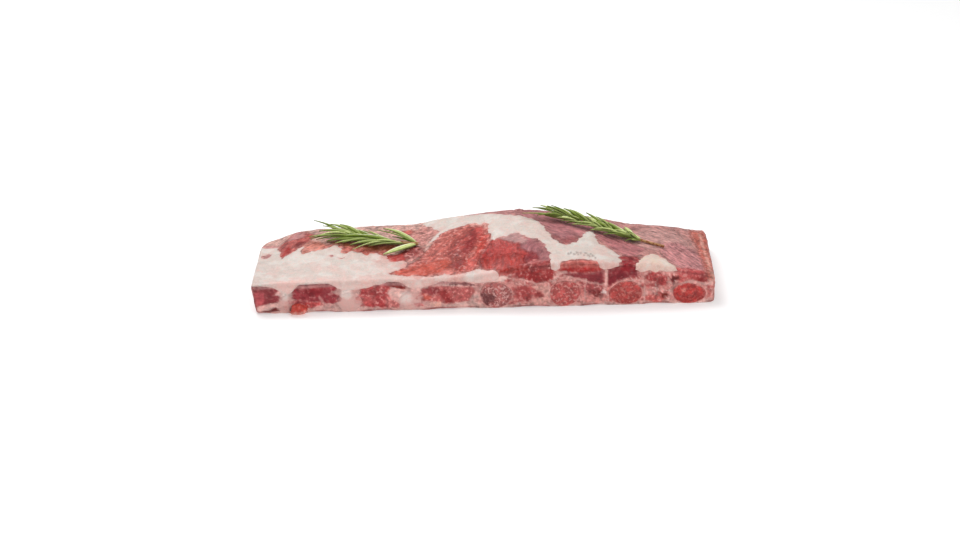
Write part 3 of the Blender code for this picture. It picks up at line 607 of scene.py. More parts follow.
# Colour, softness of the edge, flecks, and outline seen from the front, as X and height
CUT_MUSCLES_AND_SHADOW = [
    ((0.26, 0.036, 0.042), 0.5, 0.2, [
        (-124, 14.5), (-120.7, 14.8), (-113.1, 14.4), (-109.1, 12.9), (-110.4, 11.2), (-111.3, 10.1),
        (-108.6, 8.6), (-108, 7.4), (-110.4, 5.9), (-115.9, 3.9), (-121.1, 3.0), (-124, 3.0)]),
    ((0.49, 0.085, 0.095), 0.9, 0.10, [
        (-122, 11.4), (-119.9, 12), (-117, 11.2), (-116.4, 8.3), (-118.3, 4.9), (-120.2, 3.4), (-122, 4)]),
    ((0.35, 0.042, 0.052), 0.5, 0.40, [
        (-102.4, 12.8), (-99.9, 14.8), (-96.5, 15.6), (-93.1, 16.9), (-90.9, 17.1), (-88, 16.1),
        (-82.5, 15.7), (-80.2, 14), (-79.6, 12.4), (-81.4, 11.6), (-81.8, 10.2), (-80.2, 9.5),
        (-78.6, 8.3), (-77.6, 7.3), (-79.1, 5.7), (-81, 4.6), (-85.7, 4.6), (-88.2, 5.6), (-92.6, 5.6),
        (-97.6, 6.4), (-103, 8), (-103, 10.3)]),
    ((0.27, 0.016, 0.023), 1.2, 0.2, [
        (-94, 15.4), (-90, 15.6), (-86, 13.6), (-88, 10), (-93, 9), (-97, 11)]),
    ((0.50, 0.110, 0.115), 0.6, 0.5, [
        (-104.8, 6.6), (-101, 7), (-94.2, 6.4), (-92, 4.4), (-95, 3.6), (-99.3, 4.4), (-104.4, 5)]),
    ((0.62, 0.092, 0.090), 0.7, 0.8, [
        (-96.7, 5.2), (-91, 6), (-86.6, 5.4), (-87, 3.6), (-92.6, 2.1), (-96.8, 3)]),
    ((0.46, 0.060, 0.062), 0.7, 0.8, [
        (-67.8, 12.4), (-64.8, 13.7), (-58.4, 14.6), (-54.5, 15.4), (-51.6, 14), (-52.2, 11.9),
        (-53.6, 9.6), (-52.1, 6.3), (-49.9, 4.6), (-47.4, 2.9), (-48.7, 1.5), (-54.3, 1.5), (-62.8, 2.2),
        (-67.5, 3.0), (-70.1, 5.4), (-70.4, 7.7), (-67.7, 9.5)]),
    ((0.56, 0.100, 0.095), 0.8, 0.7, [
        (-70.8, 6.4), (-67.7, 8.4), (-63.4, 7.8), (-61, 6), (-62, 4), (-67, 3.6), (-70.4, 5)]),
    ((0.66, 0.200, 0.185), 0.9, 1.0, [
        (-54, 8), (-51.4, 6), (-48, 3.4), (-48, 1.4), (-53.4, 1.6), (-55.4, 4.6)]),
    ((0.20, 0.010, 0.007), 0.4, 0.1, [
        (-55.4, 15.6), (-51.6, 15.1), (-46.9, 14.1), (-44.1, 13), (-44.4, 11.8), (-48.6, 12.3),
        (-52.4, 13.3)]),
    ((0.52, 0.120, 0.112), 0.8, 0.9, [
        (-39, 6.4), (-37, 9.2), (-35.3, 11.2), (-30.2, 12.9), (-24.2, 13.1), (-15.6, 12.4), (-9.1, 11.4),
        (-7.4, 9.5), (-9.9, 7.0), (-11.7, 4.7), (-15.5, 3.5), (-22, 2.9), (-26.3, 3.5), (-32.8, 4.2),
        (-37.1, 4.5)]),
    ((0.36, 0.055, 0.060), 0.7, 0.35, [
        (-36.4, 11), (-32.7, 12.5), (-28.2, 12.5), (-27, 10.3), (-30.2, 7.8), (-33, 8.4)]),
    ((0.32, 0.036, 0.036), 0.7, 0.45, [
        (-27.4, 9.6), (-24.2, 10.6), (-21.4, 8.5), (-19.5, 5.9), (-20.5, 3.6), (-24.1, 4.0), (-26.5, 7)]),
    ((0.58, 0.110, 0.080), 0.6, 0.6, [(-35.5, 8.6), (-31, 7.6), (-31.9, 4.8), (-35.1, 5.6)]),
    ((0.92, 0.480, 0.390), 0.7, 0.2, [(-31, 3.6), (-26.3, 4.2), (-25.7, 1.6), (-29.6, 1.4)]),
    ((0.50, 0.100, 0.105), 0.5, 0.4, [(-40.3, 3.9), (-36, 4.2), (-35, 1.9), (-39, 1.7)]),
    ((0.18, 0.055, 0.055), 0.35, 0.1, [
        (-26, 13.9), (-21.6, 14.4), (-15.6, 14.5), (-11.3, 14), (-6.3, 13.2), (-7, 12.3), (-11.3, 12.9),
        (-17.3, 13.1), (-24.2, 13.1)]),
    ((0.38, 0.062, 0.060), 0.8, 0.6, [
        (12.4, 9.8), (14.5, 12.6), (18.3, 12), (21.8, 8.8), (24.9, 9), (28, 7), (25, 4.9), (21.9, 6.4),
        (19.3, 3.1), (14.4, 3.1), (12.8, 6.3)]),
    ((0.74, 0.360, 0.315), 0.7, 0.9, [
        (21.4, 11.2), (27.9, 11.9), (30.8, 9.6), (29.3, 4.0), (30.6, 1.6), (22, 1.4), (21, 2.8),
        (23.6, 4.4), (27.6, 5.2), (26.6, 8.4)]),
    ((0.34, 0.032, 0.032), 0.7, 0.60, [
        (8.7, 19.4), (14.9, 21.6), (17, 26), (24, 28), (33.4, 28), (33, 20.2), (32.2, 15.8), (28.5, 13.3),
        (22.3, 13), (18.2, 14.6), (13.4, 16.8)]),
    ((0.41, 0.080, 0.080), 0.7, 0.8, [
        (46.4, 13), (49.4, 14.2), (54.7, 13), (58.7, 11.6), (58.9, 8.3), (58.7, 5.8), (55, 4.6),
        (50.8, 6.6), (48, 8.7)]),
    ((0.68, 0.250, 0.225), 0.8, 0.7, [(48, 8), (54, 5.6), (58.8, 6.4), (58.6, 1.6), (50, 1.4), (46.6, 4)]),
    ((0.37, 0.020, 0.019), 0.8, 0.2, [
        (35, 19.6), (35, 27), (59.4, 27), (59.2, 19.6), (52, 18.4), (44, 18.4)]),
    ((0.25, 0.030, 0.038), 1.2, 0.05, [
        (36.4, 18.8), (44, 18.4), (52, 18.2), (59.3, 19.4), (59, 11.9), (54.2, 12.1), (48.3, 14.4),
        (42, 15.9), (37.4, 17.2)]),
    ((0.22, 0.018, 0.026), 0.9, 0.15, [
        (60.5, 28), (76.6, 28), (76.6, 18), (76.2, 15.4), (72.3, 15), (66.5, 13.0), (62, 10.4),
        (60.6, 11)]),
    ((0.35, 0.012, 0.020), 1.6, 0.1, [(66, 26), (76.6, 26), (75, 19), (68, 19)]),
    ((0.44, 0.056, 0.056), 0.6, 0.9, [
        (79.4, 16), (83.6, 18.2), (87.9, 18), (92, 13.2), (91, 9.9), (88.2, 10.4), (84.6, 12.6),
        (81, 13.2)]),
    ((0.14, 0.005, 0.006), 0.45, 0.05, [
        (94, 13.3), (94.6, 15.4), (97.6, 15.6), (98.4, 13.7), (96.8, 12.9), (95.1, 11.7)]),
    ((0.43, 0.190, 0.170), 0.5, 0.8, [(94.6, 11.6), (97.4, 12.9), (98, 10.9), (96, 7.8), (93.8, 7.6)]),
    ((0.60, 0.130, 0.115), 0.7, 0.9, [
        (81.5, 4.8), (84.1, 5.2), (88.9, 5), (91, 3), (89.5, 0.8), (86.4, 0.4), (82.9, 1.2)]),
    ((0.17, 0.018, 0.012), 0.6, 0.2, [(88.8, 6.2), (93, 6.4), (93.4, 4), (90.3, 3.1)]),
    ((0.50, 0.086, 0.080), 0.7, 0.6, [
        (98, 19), (98.4, 12), (103.9, 12.8), (109.6, 11.5), (113.3, 11), (113.3, 19)]),
    ((0.32, 0.026, 0.026), 0.5, 0.1, [(107.6, 14.8), (110, 15), (113.2, 13), (112.4, 11.2), (108.3, 11.9)]),
    ((0.84, 0.560, 0.500), 0.5, 0.1, [
        (1, 13.8), (5, 14.4), (8, 15.4), (10.6, 16.4), (8, 17.2), (5, 18.2), (2, 18.4)]),
    # A painted shadow, not a muscle: the dark strip under the pale membrane at the foot of the left end
    ((0.18, 0.026, 0.026), 0.4, 0.05, [
        (-119.4, 0.3), (-115, 1.9), (-110, 3.3), (-106, 3.9), (-106, 2.3), (-111, 0.7), (-116, -0.4)]),
    ((0.24, 0.034, 0.032), 0.5, 0.3, [(53.2, 8.2), (57.2, 8.6), (57.7, 5.4), (55.4, 4.3), (53, 5.6)]),
    ((0.88, 0.660, 0.620), 0.4, 0.1, [(57.9, 8.6), (60.3, 8.4), (60.2, 6.8), (57.8, 6.9)]),
    ((0.84, 0.450, 0.390), 0.5, 0.3, [(113.2, 24), (119, 24), (119, 9.5), (115.2, 9.8), (113.5, 13)]),
    ((0.60, 0.160, 0.140), 0.5, 0.3, [(113.4, 8.4), (114.8, 9.2), (115.6, 6), (115.2, 2.2), (113.4, 2.8)]),
]
CUT_LEFT, CUT_RIGHT = (0.76, 0.470, 0.425), (0.64, 0.250, 0.225)     # tissue between the muscles
CUT_TURN = (-12.0, 8.0)     # along X, where the one gives way to the other
CUT_RED = (0.46, 0.085, 0.080)      # blots in it
MEMBRANE, FRINGE = (0.78, 0.440, 0.395), (0.72, 0.380, 0.335)
CARTILAGE_RIM, CARTILAGE_CORE = (0.74, 0.430, 0.390), (0.84, 0.670, 0.620)
# Membranes on the cut: half-width, strength and the points of each, as X and height
MEMBRANES = [
    (0.35, 0.8, [(30.1, 12.6), (30.6, 6), (30.4, 0.6)]),
    (0.3, 0.7, [(49.4, 14.2), (49, 8), (49.2, 4)]),
    (0.45, 1.0, [(59.7, 22.8), (60, 16), (59.9, 11.1)]),
    (0.35, 0.8, [(80.5, 10), (80.2, 6), (80.4, 0)]),
    (0.35, 0.8, [(94.4, 8), (94, 5), (93.1, 0)]),
    (0.3, 0.8, [(112.4, 11), (112.8, 6), (112, 0)]),
    (0.30, 0.7, [(15, 15.8), (19, 14), (24, 12.8), (28.6, 13.2)]),
    (0.45, 0.85, [(32, 13.4), (35.5, 18.4), (39, 19)]),
    (0.35, 0.6, [(38, 17.0), (43, 15.4), (48, 14.2), (53, 12.2), (59, 11.5)]),
    (0.5, 0.75, [(99, 10.4), (104, 12.2), (108, 11.2), (112, 10.4), (117, 10)]),
    (0.6, 0.9, [(115.8, 19), (116.6, 12), (117.4, 8), (117, 1)]),
    (0.7, 1.0, [(-124, 2.4), (-119, 3.0), (-114, 4.2), (-106, 5.8)]),
    (0.3, 0.9, [(-124, -0.2), (-113, 0.3), (-104, 1.2)]),
    (0.5, 0.45, [(-88.6, 8), (-87.6, 6.6), (-86.6, 4.8)]),
    (0.4, 0.6, [(-82, 11.2), (-78, 10.2)]),
]
FLUSH = 1.6                 # pale tissue reaches this far from a cartilage end
RIB_HALO = 1.0              # and this far from a bone's
# The milky middle of each cartilage on the front: centre as X and height, and half-widths
MILKY = [(-106, 10.5, 2.4, 3.6), (-75.2, 9.7, 2.9, 2.8), (-44.2, 6.9, 3.1, 3.1)]
HALO = (0.76, 0.340, 0.305)
FOOT_LINE = 2.4             # the pale membrane of the underside shows this high on the cuts
# Painted shadow: a dark line along the foot of the cuts, between the ribs
PAINTED_FOOT_SHADOW = (0.20, 0.070, 0.065)
SHRED_RED, SHRED_PALE = (0.60, 0.075, 0.055), (0.74, 0.330, 0.280)
UNDER_RIB, UNDER_GAP, UNDER_FAT = (0.62, 0.420, 0.395), (0.42, 0.140, 0.130), (0.74, 0.580, 0.530)
LEFT_CUT, RIGHT_CUT = (0.31, 0.060, 0.065), (0.43, 0.120, 0.100)
SQUEEZE_FROM = 13.0         # above this the muscles are pressed lower at the back
FAT_OVER, FAT_UNDER = 6.0, 9.0      # no fat is nearer the foot, or deeper under the top
LUMPS, FIBRES, CUT_GRAIN = 0.30, 0.24, 0.22      # heights of the relief
slip_outlines = [torn_outline(slip) for slip in LEAN_SLIPS]


def corners_of(piece):
    """The corners of a piece in the slab's millimetres."""
    found = np.empty(len(piece.data.vertices) * 3)
    piece.data.vertices.foreach_get("co", found)
    return found.reshape(-1, 3) / MM - CENTRE


def put_corners(piece, points):
    """Move the corners of a piece to points in the slab's millimetres."""
    piece.data.vertices.foreach_set("co", ((points + CENTRE) * MM).ravel())


def facing(points):
    """How much each point belongs to each side of the slab, 0 to 1."""
    x, y, z = points.T
    left, right = end_edges(y)
    gaps = {
        "top": top_height(x, y) - z, "foot": z - foot_height(x, y), "front": y - FRONT,
        "back": BACK - y, "right": right - x,
        "left": x - left - UNDERCUT * (1 - np.clip(z / crown(x, y), 0.0, 1.0)),
    }
    return {side: np.exp(-(np.maximum(gap, 0.0) / SKIN)**2) for side, gap in gaps.items()}


OUTWARD = {"top": (0, 0, 1), "foot": (0, 0, -1), "front": (0, -1, 0), "back": (0, 1, 0),
           "left": (-1, 0, 0), "right": (1, 0, 0)}


def raise_skin(piece, points, sides, heights):
    """Move each point outwards by a height, in the mean direction of the sides it belongs to."""
    way = sum(weight[:, None] * np.array(OUTWARD[side]) for side, weight in sides.items())
    length = np.maximum(np.linalg.norm(way, axis=1), 1e-6)
    way = way / np.maximum(length, 1.0)[:, None]
    moved = points + way * heights[:, None]
    moved[:, 2] = np.maximum(moved[:, 2], 0.0)
    put_corners(piece, moved)


def crisp(piece):
    """Keep the edges left by a cut sharp, and everything else smooth."""
    piece.data.set_sharp_from_angle(angle=SHARP)


def keep(piece, name, values):
    """Store a number or a triple for each corner of a piece, for its material."""
    kind = "FLOAT" if values.ndim == 1 else "FLOAT_VECTOR"
    made = piece.data.attributes.new(name, kind, "POINT")
    made.data.foreach_set("value" if kind == "FLOAT" else "vector", values.astype(np.float32).ravel())


def inside_fat(points):
    """How far points lie inside a layer of fat; negative outside."""
    x, y, z = points.T
    found = np.full(len(points), -FAR)
    near = (z > foot_height(x, y) + FAT_OVER) & (top_height(x, y) - z < FAT_UNDER)
    for name, *_ in FATS:
        plan = inside(lip_outlines[name], x[near], y[near])
        if name == "fat_cap":
            for slip in slip_outlines:
                plan = np.minimum(plan, -inside(slip, x[near], y[near]))
        layer = np.minimum(plan, z[near] - feet[name](x[near], y[near]))
        found[near] = np.maximum(found[near], layer)
    return found


def beside(line, a, b):
    """Distance of the points (a, b) from an open line."""
    nearest = np.full(len(a), FAR)
    for (start_a, start_b), (end_a, end_b) in zip(line, line[1:]):
        run_a, run_b = end_a - start_a, end_b - start_b
        t = np.clip(((a - start_a) * run_a + (b - start_b) * run_b) / (run_a**2 + run_b**2), 0, 1)
        nearest = np.minimum(nearest, np.hypot(a - start_a - t * run_a, b - start_b - t * run_b))
    return nearest


def mix(old, new, share):
    """From the old values to the new ones, by a share for each point."""
    share = share if np.ndim(old) == 1 else share[:, None]
    return old + (np.asarray(new) - old) * share


def plain(colour, like):
    """One colour for each of the points."""
    return np.tile(np.array(colour), (len(like), 1))


def paint_top(points):
    """Colour, grain, flecks and streaks of the lean, seen from above."""
    x, y, z = points.T
    stray = 0.9 * rough(flat(x, y), 3.0, 4, 2.5)
    wander = 1.2 * rough(flat(x, y), 9.0, 3, 8.8)
    tone, flecks, streaks = plain(TOP_BASE, x), np.full(len(x), 0.2), np.full(len(x), 0.5)
    grain = np.stack([x, y], axis=-1) * (ALONG_FIBRES, 1.0)
    for colour, angle, soft, fleck, streak, outline in MUSCLES:
        share = smooth_step(inside(outline, x, y) + stray, -soft, soft)
        turn = math.radians(angle)
        middle = np.mean(outline, axis=0)
        along = (x - middle[0]) * math.cos(turn) + (y - middle[1]) * math.sin(turn)
        across = (y - middle[1]) * math.cos(turn) - (x - middle[0]) * math.sin(turn)
        tone = mix(tone, colour, share)
        flecks, streaks = mix(flecks, fleck, share), mix(streaks, streak, share)
        grain = mix(grain, np.stack([along * ALONG_FIBRES, across + wander], axis=-1),
                    smooth_step(share, 0.35, 0.65))
    return tone, np.column_stack([grain, 0.3 * z]), flecks, streaks


def rib_gap(x, z, kind):
    """Distance from the nearest rib of this kind, on a cut where the ribs stand at these X."""
    found = []
    for name, front_x, width, height, _ in RIBS:
        if name.startswith(kind):
            reach = np.hypot((x - front_x) / (width / 2), (z - RIB_FLOOR - height / 2) / (height / 2))
            found.append((reach - 1) * min(width, height) / 2)
    return np.min(found, axis=0)


def rib_reach(points):
    """Distance from the nearest rib of either kind."""
    x, y, z = points.T
    along = x - RIB_LEAN * (y - FRONT)
    return np.minimum(rib_gap(along, z, "cartilage"), rib_gap(along, z, "bone"))


def paint_cut(x, up):
    """Colour, flecks and swelling of the lean on the sawn front, at X and height."""
    z = up - CUT_FOOT
    place = flat(x, z)
    stray = 0.8 * rough(place, 2.2, 4, 4.5)
    turn = smooth_step(x + 3 * stray, *CUT_TURN)
    tone = mix(plain(CUT_LEFT, x), CUT_RIGHT, turn)
    blots = smooth_step(rough(place * (0.6, 1, 1), 3.2, 3, 8.5), -0.05, 0.3)
    tone = mix(tone, CUT_RED, blots * (0.3 + 0.55 * turn))
    # Thin pale walls wind through it and, fainter, through the muscles
    wall = 1 - smooth_step(np.abs(rough(place, 5.2, 3, 12.5)), 0.03, 0.13)
    tone = mix(tone, MEMBRANE, 0.9 * wall)
    foot = 1 - smooth_step(up + 0.5 * stray, FOOT_LINE * 0.6, FOOT_LINE * 1.2)
    tone = mix(tone, MEMBRANE, 0.85 * foot)
    flecks = 0.1 + 0.3 * turn
    bulge = np.zeros(len(x))
    for colour, soft, fleck, outline in CUT_MUSCLES_AND_SHADOW:
        share = smooth_step(inside(outline, x, z) + stray, -soft, soft)
        tone = mix(tone, colour, share * (1 - 0.3 * wall * fleck))
        flecks = mix(flecks, fleck, share)
        bulge = np.maximum(bulge, share)
    for half, strength, line in MEMBRANES:
        share = 1 - smooth_step(beside(line, x + 0.4 * stray, z + 0.4 * stray), half * 0.5, half * 2.2)
        tone, bulge = mix(tone, MEMBRANE, strength * share), bulge * (1 - share)
    # Cartilage is a milky blot with a blurred edge, in pale tissue
    pale = 1 - smooth_step(rib_gap(x, up, "cartilage") + 1.6 * stray, -0.6, FLUSH)
    tone = mix(tone, CARTILAGE_RIM, 0.8 * pale * (1 - 0.5 * blots))
    for middle_x, middle_z, half_x, half_z in MILKY:
        reach = np.hypot((x - middle_x) / half_x, (z - middle_z) / half_z) + 0.3 * stray
        tone = mix(tone, CARTILAGE_CORE, 0.95 * (1 - smooth_step(reach, 0.5, 1.4)))
    halo = 1 - smooth_step(rib_gap(x, up, "bone") + 1.0 * stray, 0.0, RIB_HALO)
    tone = mix(tone, HALO, 0.7 * halo)
    # Between the ribs the membrane rolls under, and below it a dark line is painted: a painted shadow where
    # the underside arches off the floor
    nearest = np.min([np.abs(x - front_x) for _, front_x, *_ in RIBS], axis=0)
    foot_shadow = 1 - smooth_step(up + 0.25 * stray, 1.1, 1.8)
    foot_shadow = foot_shadow * smooth_step(nearest + stray, REST_HALF, REST_HALF + 3)
    tone = mix(tone, PAINTED_FOOT_SHADOW, 0.7 * foot_shadow)
    return tone, flecks * (1 - 0.5 * np.maximum(halo, pale)), bulge * (1 - np.maximum(halo, pale))


def dress_lean(piece):
    """Shape the surface of the lean meat and store what its material needs."""
    points = corners_of(piece)
    x, y, z = points.T
    sides = facing(points)
    tone, grain, flecks, streaks = paint_top(points)
    cut = np.maximum.reduce([sides[side] for side in ("front", "back", "left", "right")])
    cut_grain = 0.7 * np.stack([x, z, y], axis=-1)
    # The back cut meets the same muscles as the front, a little further along and lower
    shift = RIB_LEAN * (BACK - FRONT)
    squeeze = height_along(x, 1) / height_along(x, 3)
    front_tone, front_flecks, front_bulge = paint_cut(x, z)
    back_tone, back_flecks, back_bulge = paint_cut(
        x - shift, np.where(z > SQUEEZE_FROM, SQUEEZE_FROM + (z - SQUEEZE_FROM) * squeeze, z))
    veil = smooth_step(rough(points, 3.5, 3, 9.5), 0.0, 0.5)[:, None]
    left_tone = np.array(LEFT_CUT) * (1 - 0.45 * veil) + np.array(MEMBRANE) * 0.45 * veil
    right_tone = np.array(RIGHT_CUT) * (1 - 0.5 * veil) + np.array(MEMBRANE) * 0.5 * veil
    nearest = np.min([np.abs(x - at - RIB_LEAN * (y - FRONT)) - width / 2
                      for _, at, width, *_ in RIBS], axis=0)
    stripes = smooth_step(nearest + 1.5 * rough(points, 6.0, 2, 3.3), -1.5, 1.5)
    under = mix(plain(UNDER_RIB, x), UNDER_GAP, stripes)
    under = mix(under, UNDER_FAT, 0.8 * smooth_step(rough(points, (9, 5, 5), 3, 1.7), 0.15, 0.5))
    for side, side_tone, amount in (("left", left_tone, 0.5), ("right", right_tone, 0.4),
                                    ("back", back_tone, back_flecks), ("front", front_tone, front_flecks),
                                    ("foot", under, 0.2)):
        share = sides[side] * (1 - 0.75 * sides["top"])
        tone, flecks = mix(tone, side_tone, share), mix(flecks, amount, share)
    shred = smooth_step(FRONT - y, 0.15, 0.6)
    tone = mix(tone, mix(plain(SHRED_PALE, x), SHRED_RED,
                         smooth_step(z + 1.4 * rough(points, 1.8, 3), 1.4, 3.6)), shred)
    fat = inside_fat(points)
    # Beside the fat the lean is paler, in shreds of fat and membrane
    fringe = np.exp(np.minimum(fat, 0.0) / 1.8) * smooth_step(rough(points, 1.8, 3, 6.1), -0.3, 0.3)
    tone = mix(tone, FRINGE, fringe * np.where(cut > 0.5, 0.25, 0.62 * sides["top"]))
    lumps = LUMPS * rough(points, 7.0, 2)
    fibres = FIBRES * (0.5 + streaks) * rough(grain, 1.6, 2, 5.5)
    top = lumps + fibres
    sawn = CUT_GRAIN * rough(points, 1.6, 3, 6.5) + 0.2 * rough(points, 5.0)
    sawn += 0.16 * np.maximum(front_bulge * sides["front"], back_bulge * sides["back"])
    heights = np.where(sides["foot"] > 0.5, -0.1 * (1 + rough(points, 3.0, 2)),
                       top + (sawn - top) * smooth_step(cut, 0.2, 0.9))
    # Beside the fat and the ribs the relief dies out, so the pieces meet without a step
    near_rib = np.maximum(sides["front"], sides["back"])
    near_rib = near_rib * np.exp(-np.maximum(rib_reach(points), 0.0) / 0.8)
    heights = heights * (1 - np.exp(np.minimum(fat, 0.0) / 1.2)) * (1 - near_rib)
    skin = np.maximum.reduce(list(sides.values()))
    raise_skin(piece, points, sides, heights * skin)
    keep(piece, "tone", np.maximum(tone - GLOSS, 0.004))
    keep(piece, "grain", mix(grain, cut_grain, smooth_step(cut + sides["foot"], 0.3, 0.7)))
    keep(piece, "flecks", flecks)
    keep(piece, "streaks", streaks * (1 - 0.8 * np.clip(cut, 0, 1)))


class Wire:
    """What a node gives out, with arithmetic written as plain expressions."""

    def __init__(self, wiring, socket):
        self.wiring, self.socket = wiring, socket

    def maths(self, operation, *values):
        inputs = dict(enumerate(values))
        return self.wiring.node("ShaderNodeMath", {"operation": operation}, inputs)

    def __add__(self, other):
        return self.maths("ADD", self, other)

    def __sub__(self, other):
        return self.maths("SUBTRACT", self, other)

    def __rsub__(self, other):
        return self.maths("SUBTRACT", other, self)

    def __mul__(self, other):
        return self.maths("MULTIPLY", self, other)

    __radd__, __rmul__ = __add__, __mul__


class Wiring:
    """Nodes in the making, for a material or for the surroundings."""

    def __init__(self, tree):
        self.tree = tree

    def node(self, kind, settings, inputs, output=0):
        """Add a node: its settings first, then the values or links of its sockets."""
        made = self.tree.nodes.new(kind)
        for setting, value in settings.items():
            setattr(made, setting, value)
        for socket, value in inputs.items():
            self.join(made.inputs[socket], value)
        return Wire(self, made.outputs[output])

    def join(self, socket, value):
        """Link a socket to what a node gives out, or set its value."""
        if isinstance(value, Wire):
            self.tree.links.new(value.socket, socket)
        elif hasattr(value, "__len__") and len(value) == 3 and len(socket.default_value) == 4:
            socket.default_value = (*value, 1.0)
        else:
            socket.default_value = value


class Finish(Wiring):
    """A material in the making; given values are the same all over the surface."""

    def __init__(self, name, **values):
        self.material = bpy.data.materials.new(name)
        self.material.use_nodes = True
        super().__init__(self.material.node_tree)
        self.shader = self.tree.nodes["Principled BSDF"]
        for socket, value in values.items():
            self.shader.inputs[socket.replace("_", " ")].default_value = value

    def read(self, name, output="Fac"):
        """What keep() stored: Fac for a number, Vector or Color for a triple."""
        return self.node("ShaderNodeAttribute", {"attribute_name": name}, {}, output)

    def noise(self, places, scale, detail=2.0, roughness=0.5):
        return self.node("ShaderNodeTexNoise", {}, {
            "Vector": places, "Scale": scale, "Detail": detail, "Roughness": roughness})

    def band(self, value, low, high, start=0.0, end=1.0):
        """A soft change from start to end while value goes from low to high."""
        return self.node("ShaderNodeMapRange", {"interpolation_type": "SMOOTHSTEP"}, {
            "Value": value, "From Min": low, "From Max": high, "To Min": start, "To Max": end})

    def mix(self, share, low, high):
        return self.node("ShaderNodeMix", {"data_type": "RGBA"}, {0: share, 6: low, 7: high}, 2)

    def dim(self, colour, factor):
        """A colour times a number that may vary."""
        return self.node("ShaderNodeVectorMath", {"operation": "SCALE"}, {0: colour, "Scale": factor})

    def millimetres(self):
        """Places on the object, in millimetres."""
        return self.dim(self.node("ShaderNodeTexCoord", {}, {}, "Object"), 1 / MM)

    def bump(self, height, distance, strength=1.0):
        return self.node("ShaderNodeBump", {}, {
            "Height": height, "Distance": distance, "Strength": strength})

    def finish(self, piece, **links):
        """Link what varies over the surface and put the material on a piece."""
        for socket, wire in links.items():
            self.join(self.shader.inputs[socket.replace("_", " ")], wire)
        piece.data.materials.clear()
        piece.data.materials.append(self.material)


dress_lean(slab)
crisp(slab)
# Pale flecks are grains of fat and, in part, painted glints of moisture
PALE_FLECK_AND_GLINT, DARK_FLECK, PALE_FIBRE = (0.84, 0.440, 0.400), (0.13, 0.012, 0.014), (0.76, 0.340, 0.300)
meat = Finish("raw_lean_meat", Subsurface_Weight=0.08, Subsurface_Radius=(0.003, 0.0008, 0.0006),
              Subsurface_Scale=1.0, Coat_Weight=0.06, Coat_Roughness=0.15, Specular_IOR_Level=0.25)
tone, grain, place = meat.read("tone", "Color"), meat.read("grain", "Vector"), meat.millimetres()
flecks, streaks = meat.read("flecks"), meat.read("streaks")
strands = meat.noise(grain, 0.65, 3.0, 0.55)
fine_strands = meat.noise(grain, 1.8, 1.0, 0.5)
crumbs = meat.noise(place, 0.52, 1.5, 0.50)
specks = meat.noise(place, 0.75, 1.0, 0.50)
cloud = meat.noise(place, 0.20, 3.0, 0.6)
streaks = streaks * (0.25 + 1.5 * cloud)
shade = (0.30 + 1.4 * cloud
         + (strands - 0.5) * (0.6 + 1.9 * streaks) + (fine_strands - 0.5) * (0.2 + 0.8 * streaks)
         + (crumbs - 0.5) * (0.4 + 1.1 * flecks))
colour = meat.dim(tone, shade)
colour = meat.mix(meat.band(strands, 0.54, 0.74) * (0.04 + 0.26 * streaks), colour, PALE_FIBRE)
colour = meat.mix(meat.band(crumbs, 0.56, 0.68) * flecks * 0.6, colour, PALE_FLECK_AND_GLINT)
colour = meat.mix(meat.band(specks, 0.42, 0.30) * (0.08 + 0.4 * flecks) * 0.6, colour, DARK_FLECK)
relief = strands * 0.7 + fine_strands * 0.4 + crumbs * 0.6
meat.finish(slab, Base_Color=colour, Roughness=0.34 + 0.3 * specks,
            Normal=meat.bump(relief, 0.0006, 0.9))
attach(slab, "root")
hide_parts("meat")

# ---------------------------------------------------------------- the fat's surface
# Firm raw fat: creamy white with a faint pink tint, pinker along its torn edges and where it thins
# out over the sawn front. It lies a little proud of the lean and is soft and dimpled on top.
FAT_TONES = {"fat_cap": (0.70, 0.585, 0.530), "fat_band": (0.73, 0.620, 0.560),
             "fat_knob": (0.86, 0.680, 0.550)}
FAT_PINK, FAT_BLUSH = (0.76, 0.420, 0.370), (0.90, 0.530, 0.480)
FAT_WHITE, FAT_FLUSH = (0.84, 0.790, 0.740), (0.70, 0.300, 0.255)
FAT_GREY, FAT_ROSY = (0.66, 0.600, 0.545), (0.76, 0.560, 0.505)
LIP = 1.3                   # width of the rounded edge
FLUSH_FROM, FLUSH_TO = (-72.0, -46.0), (-14.0, -4.0)    # along X, where the cap thins to pink
MILKY_SHOW = (-106.0, -75.0)    # and where cartilage shows through it
BLUSH_BACK = (FRONT + 0.5, FRONT + 8.0)     # along Y, where the blush at its front edge fades
BLUSH_FROM = (-118, -108)                   # and along X, where it comes in
# Small dark spots on the band: X, Y and half-width, and then how wide they are for their length
SPOTS = [(41.3, -29.7, 0.6), (42.8, -28.4, 0.5), (44.2, -30.2, 0.6), (45.9, -28.3, 0.6), (46.4, -30.9, 0.4),
         (47.8, -28.8, 0.6), (49.2, -31.2, 0.5), (50.4, -28.6, 0.6), (51.6, -30.9, 0.6), (53.0, -29.2, 0.5),
         (53.8, -31.6, 0.6), (54.8, -33.8, 0.5), (52.0, -33.0, 0.4)]
SPOT_TONE, SPOT_WIDTH = (0.27, 0.190, 0.170), 0.45
fat_finish = Finish("raw_fat", Subsurface_Weight=0.15, Subsurface_Radius=(0.003, 0.0016, 0.0012),
                    Subsurface_Scale=1.0, Coat_Weight=0.12, Coat_Roughness=0.2, Specular_IOR_Level=0.4)
tone, place = fat_finish.read("tone", "Color"), fat_finish.millimetres()
veins = fat_finish.noise(place, 0.45, 4.0, 0.6)
grains = fat_finish.noise(place, 1.5, 2.0, 0.5)
colour = fat_finish.dim(tone, 0.74 + 0.52 * veins)
colour = fat_finish.mix(fat_finish.band(veins, 0.52, 0.68, 0.0, 0.42), colour, FAT_PINK)
colour = fat_finish.mix(fat_finish.band(grains, 0.50, 0.30, 0.0, 0.35), colour, FAT_WHITE)
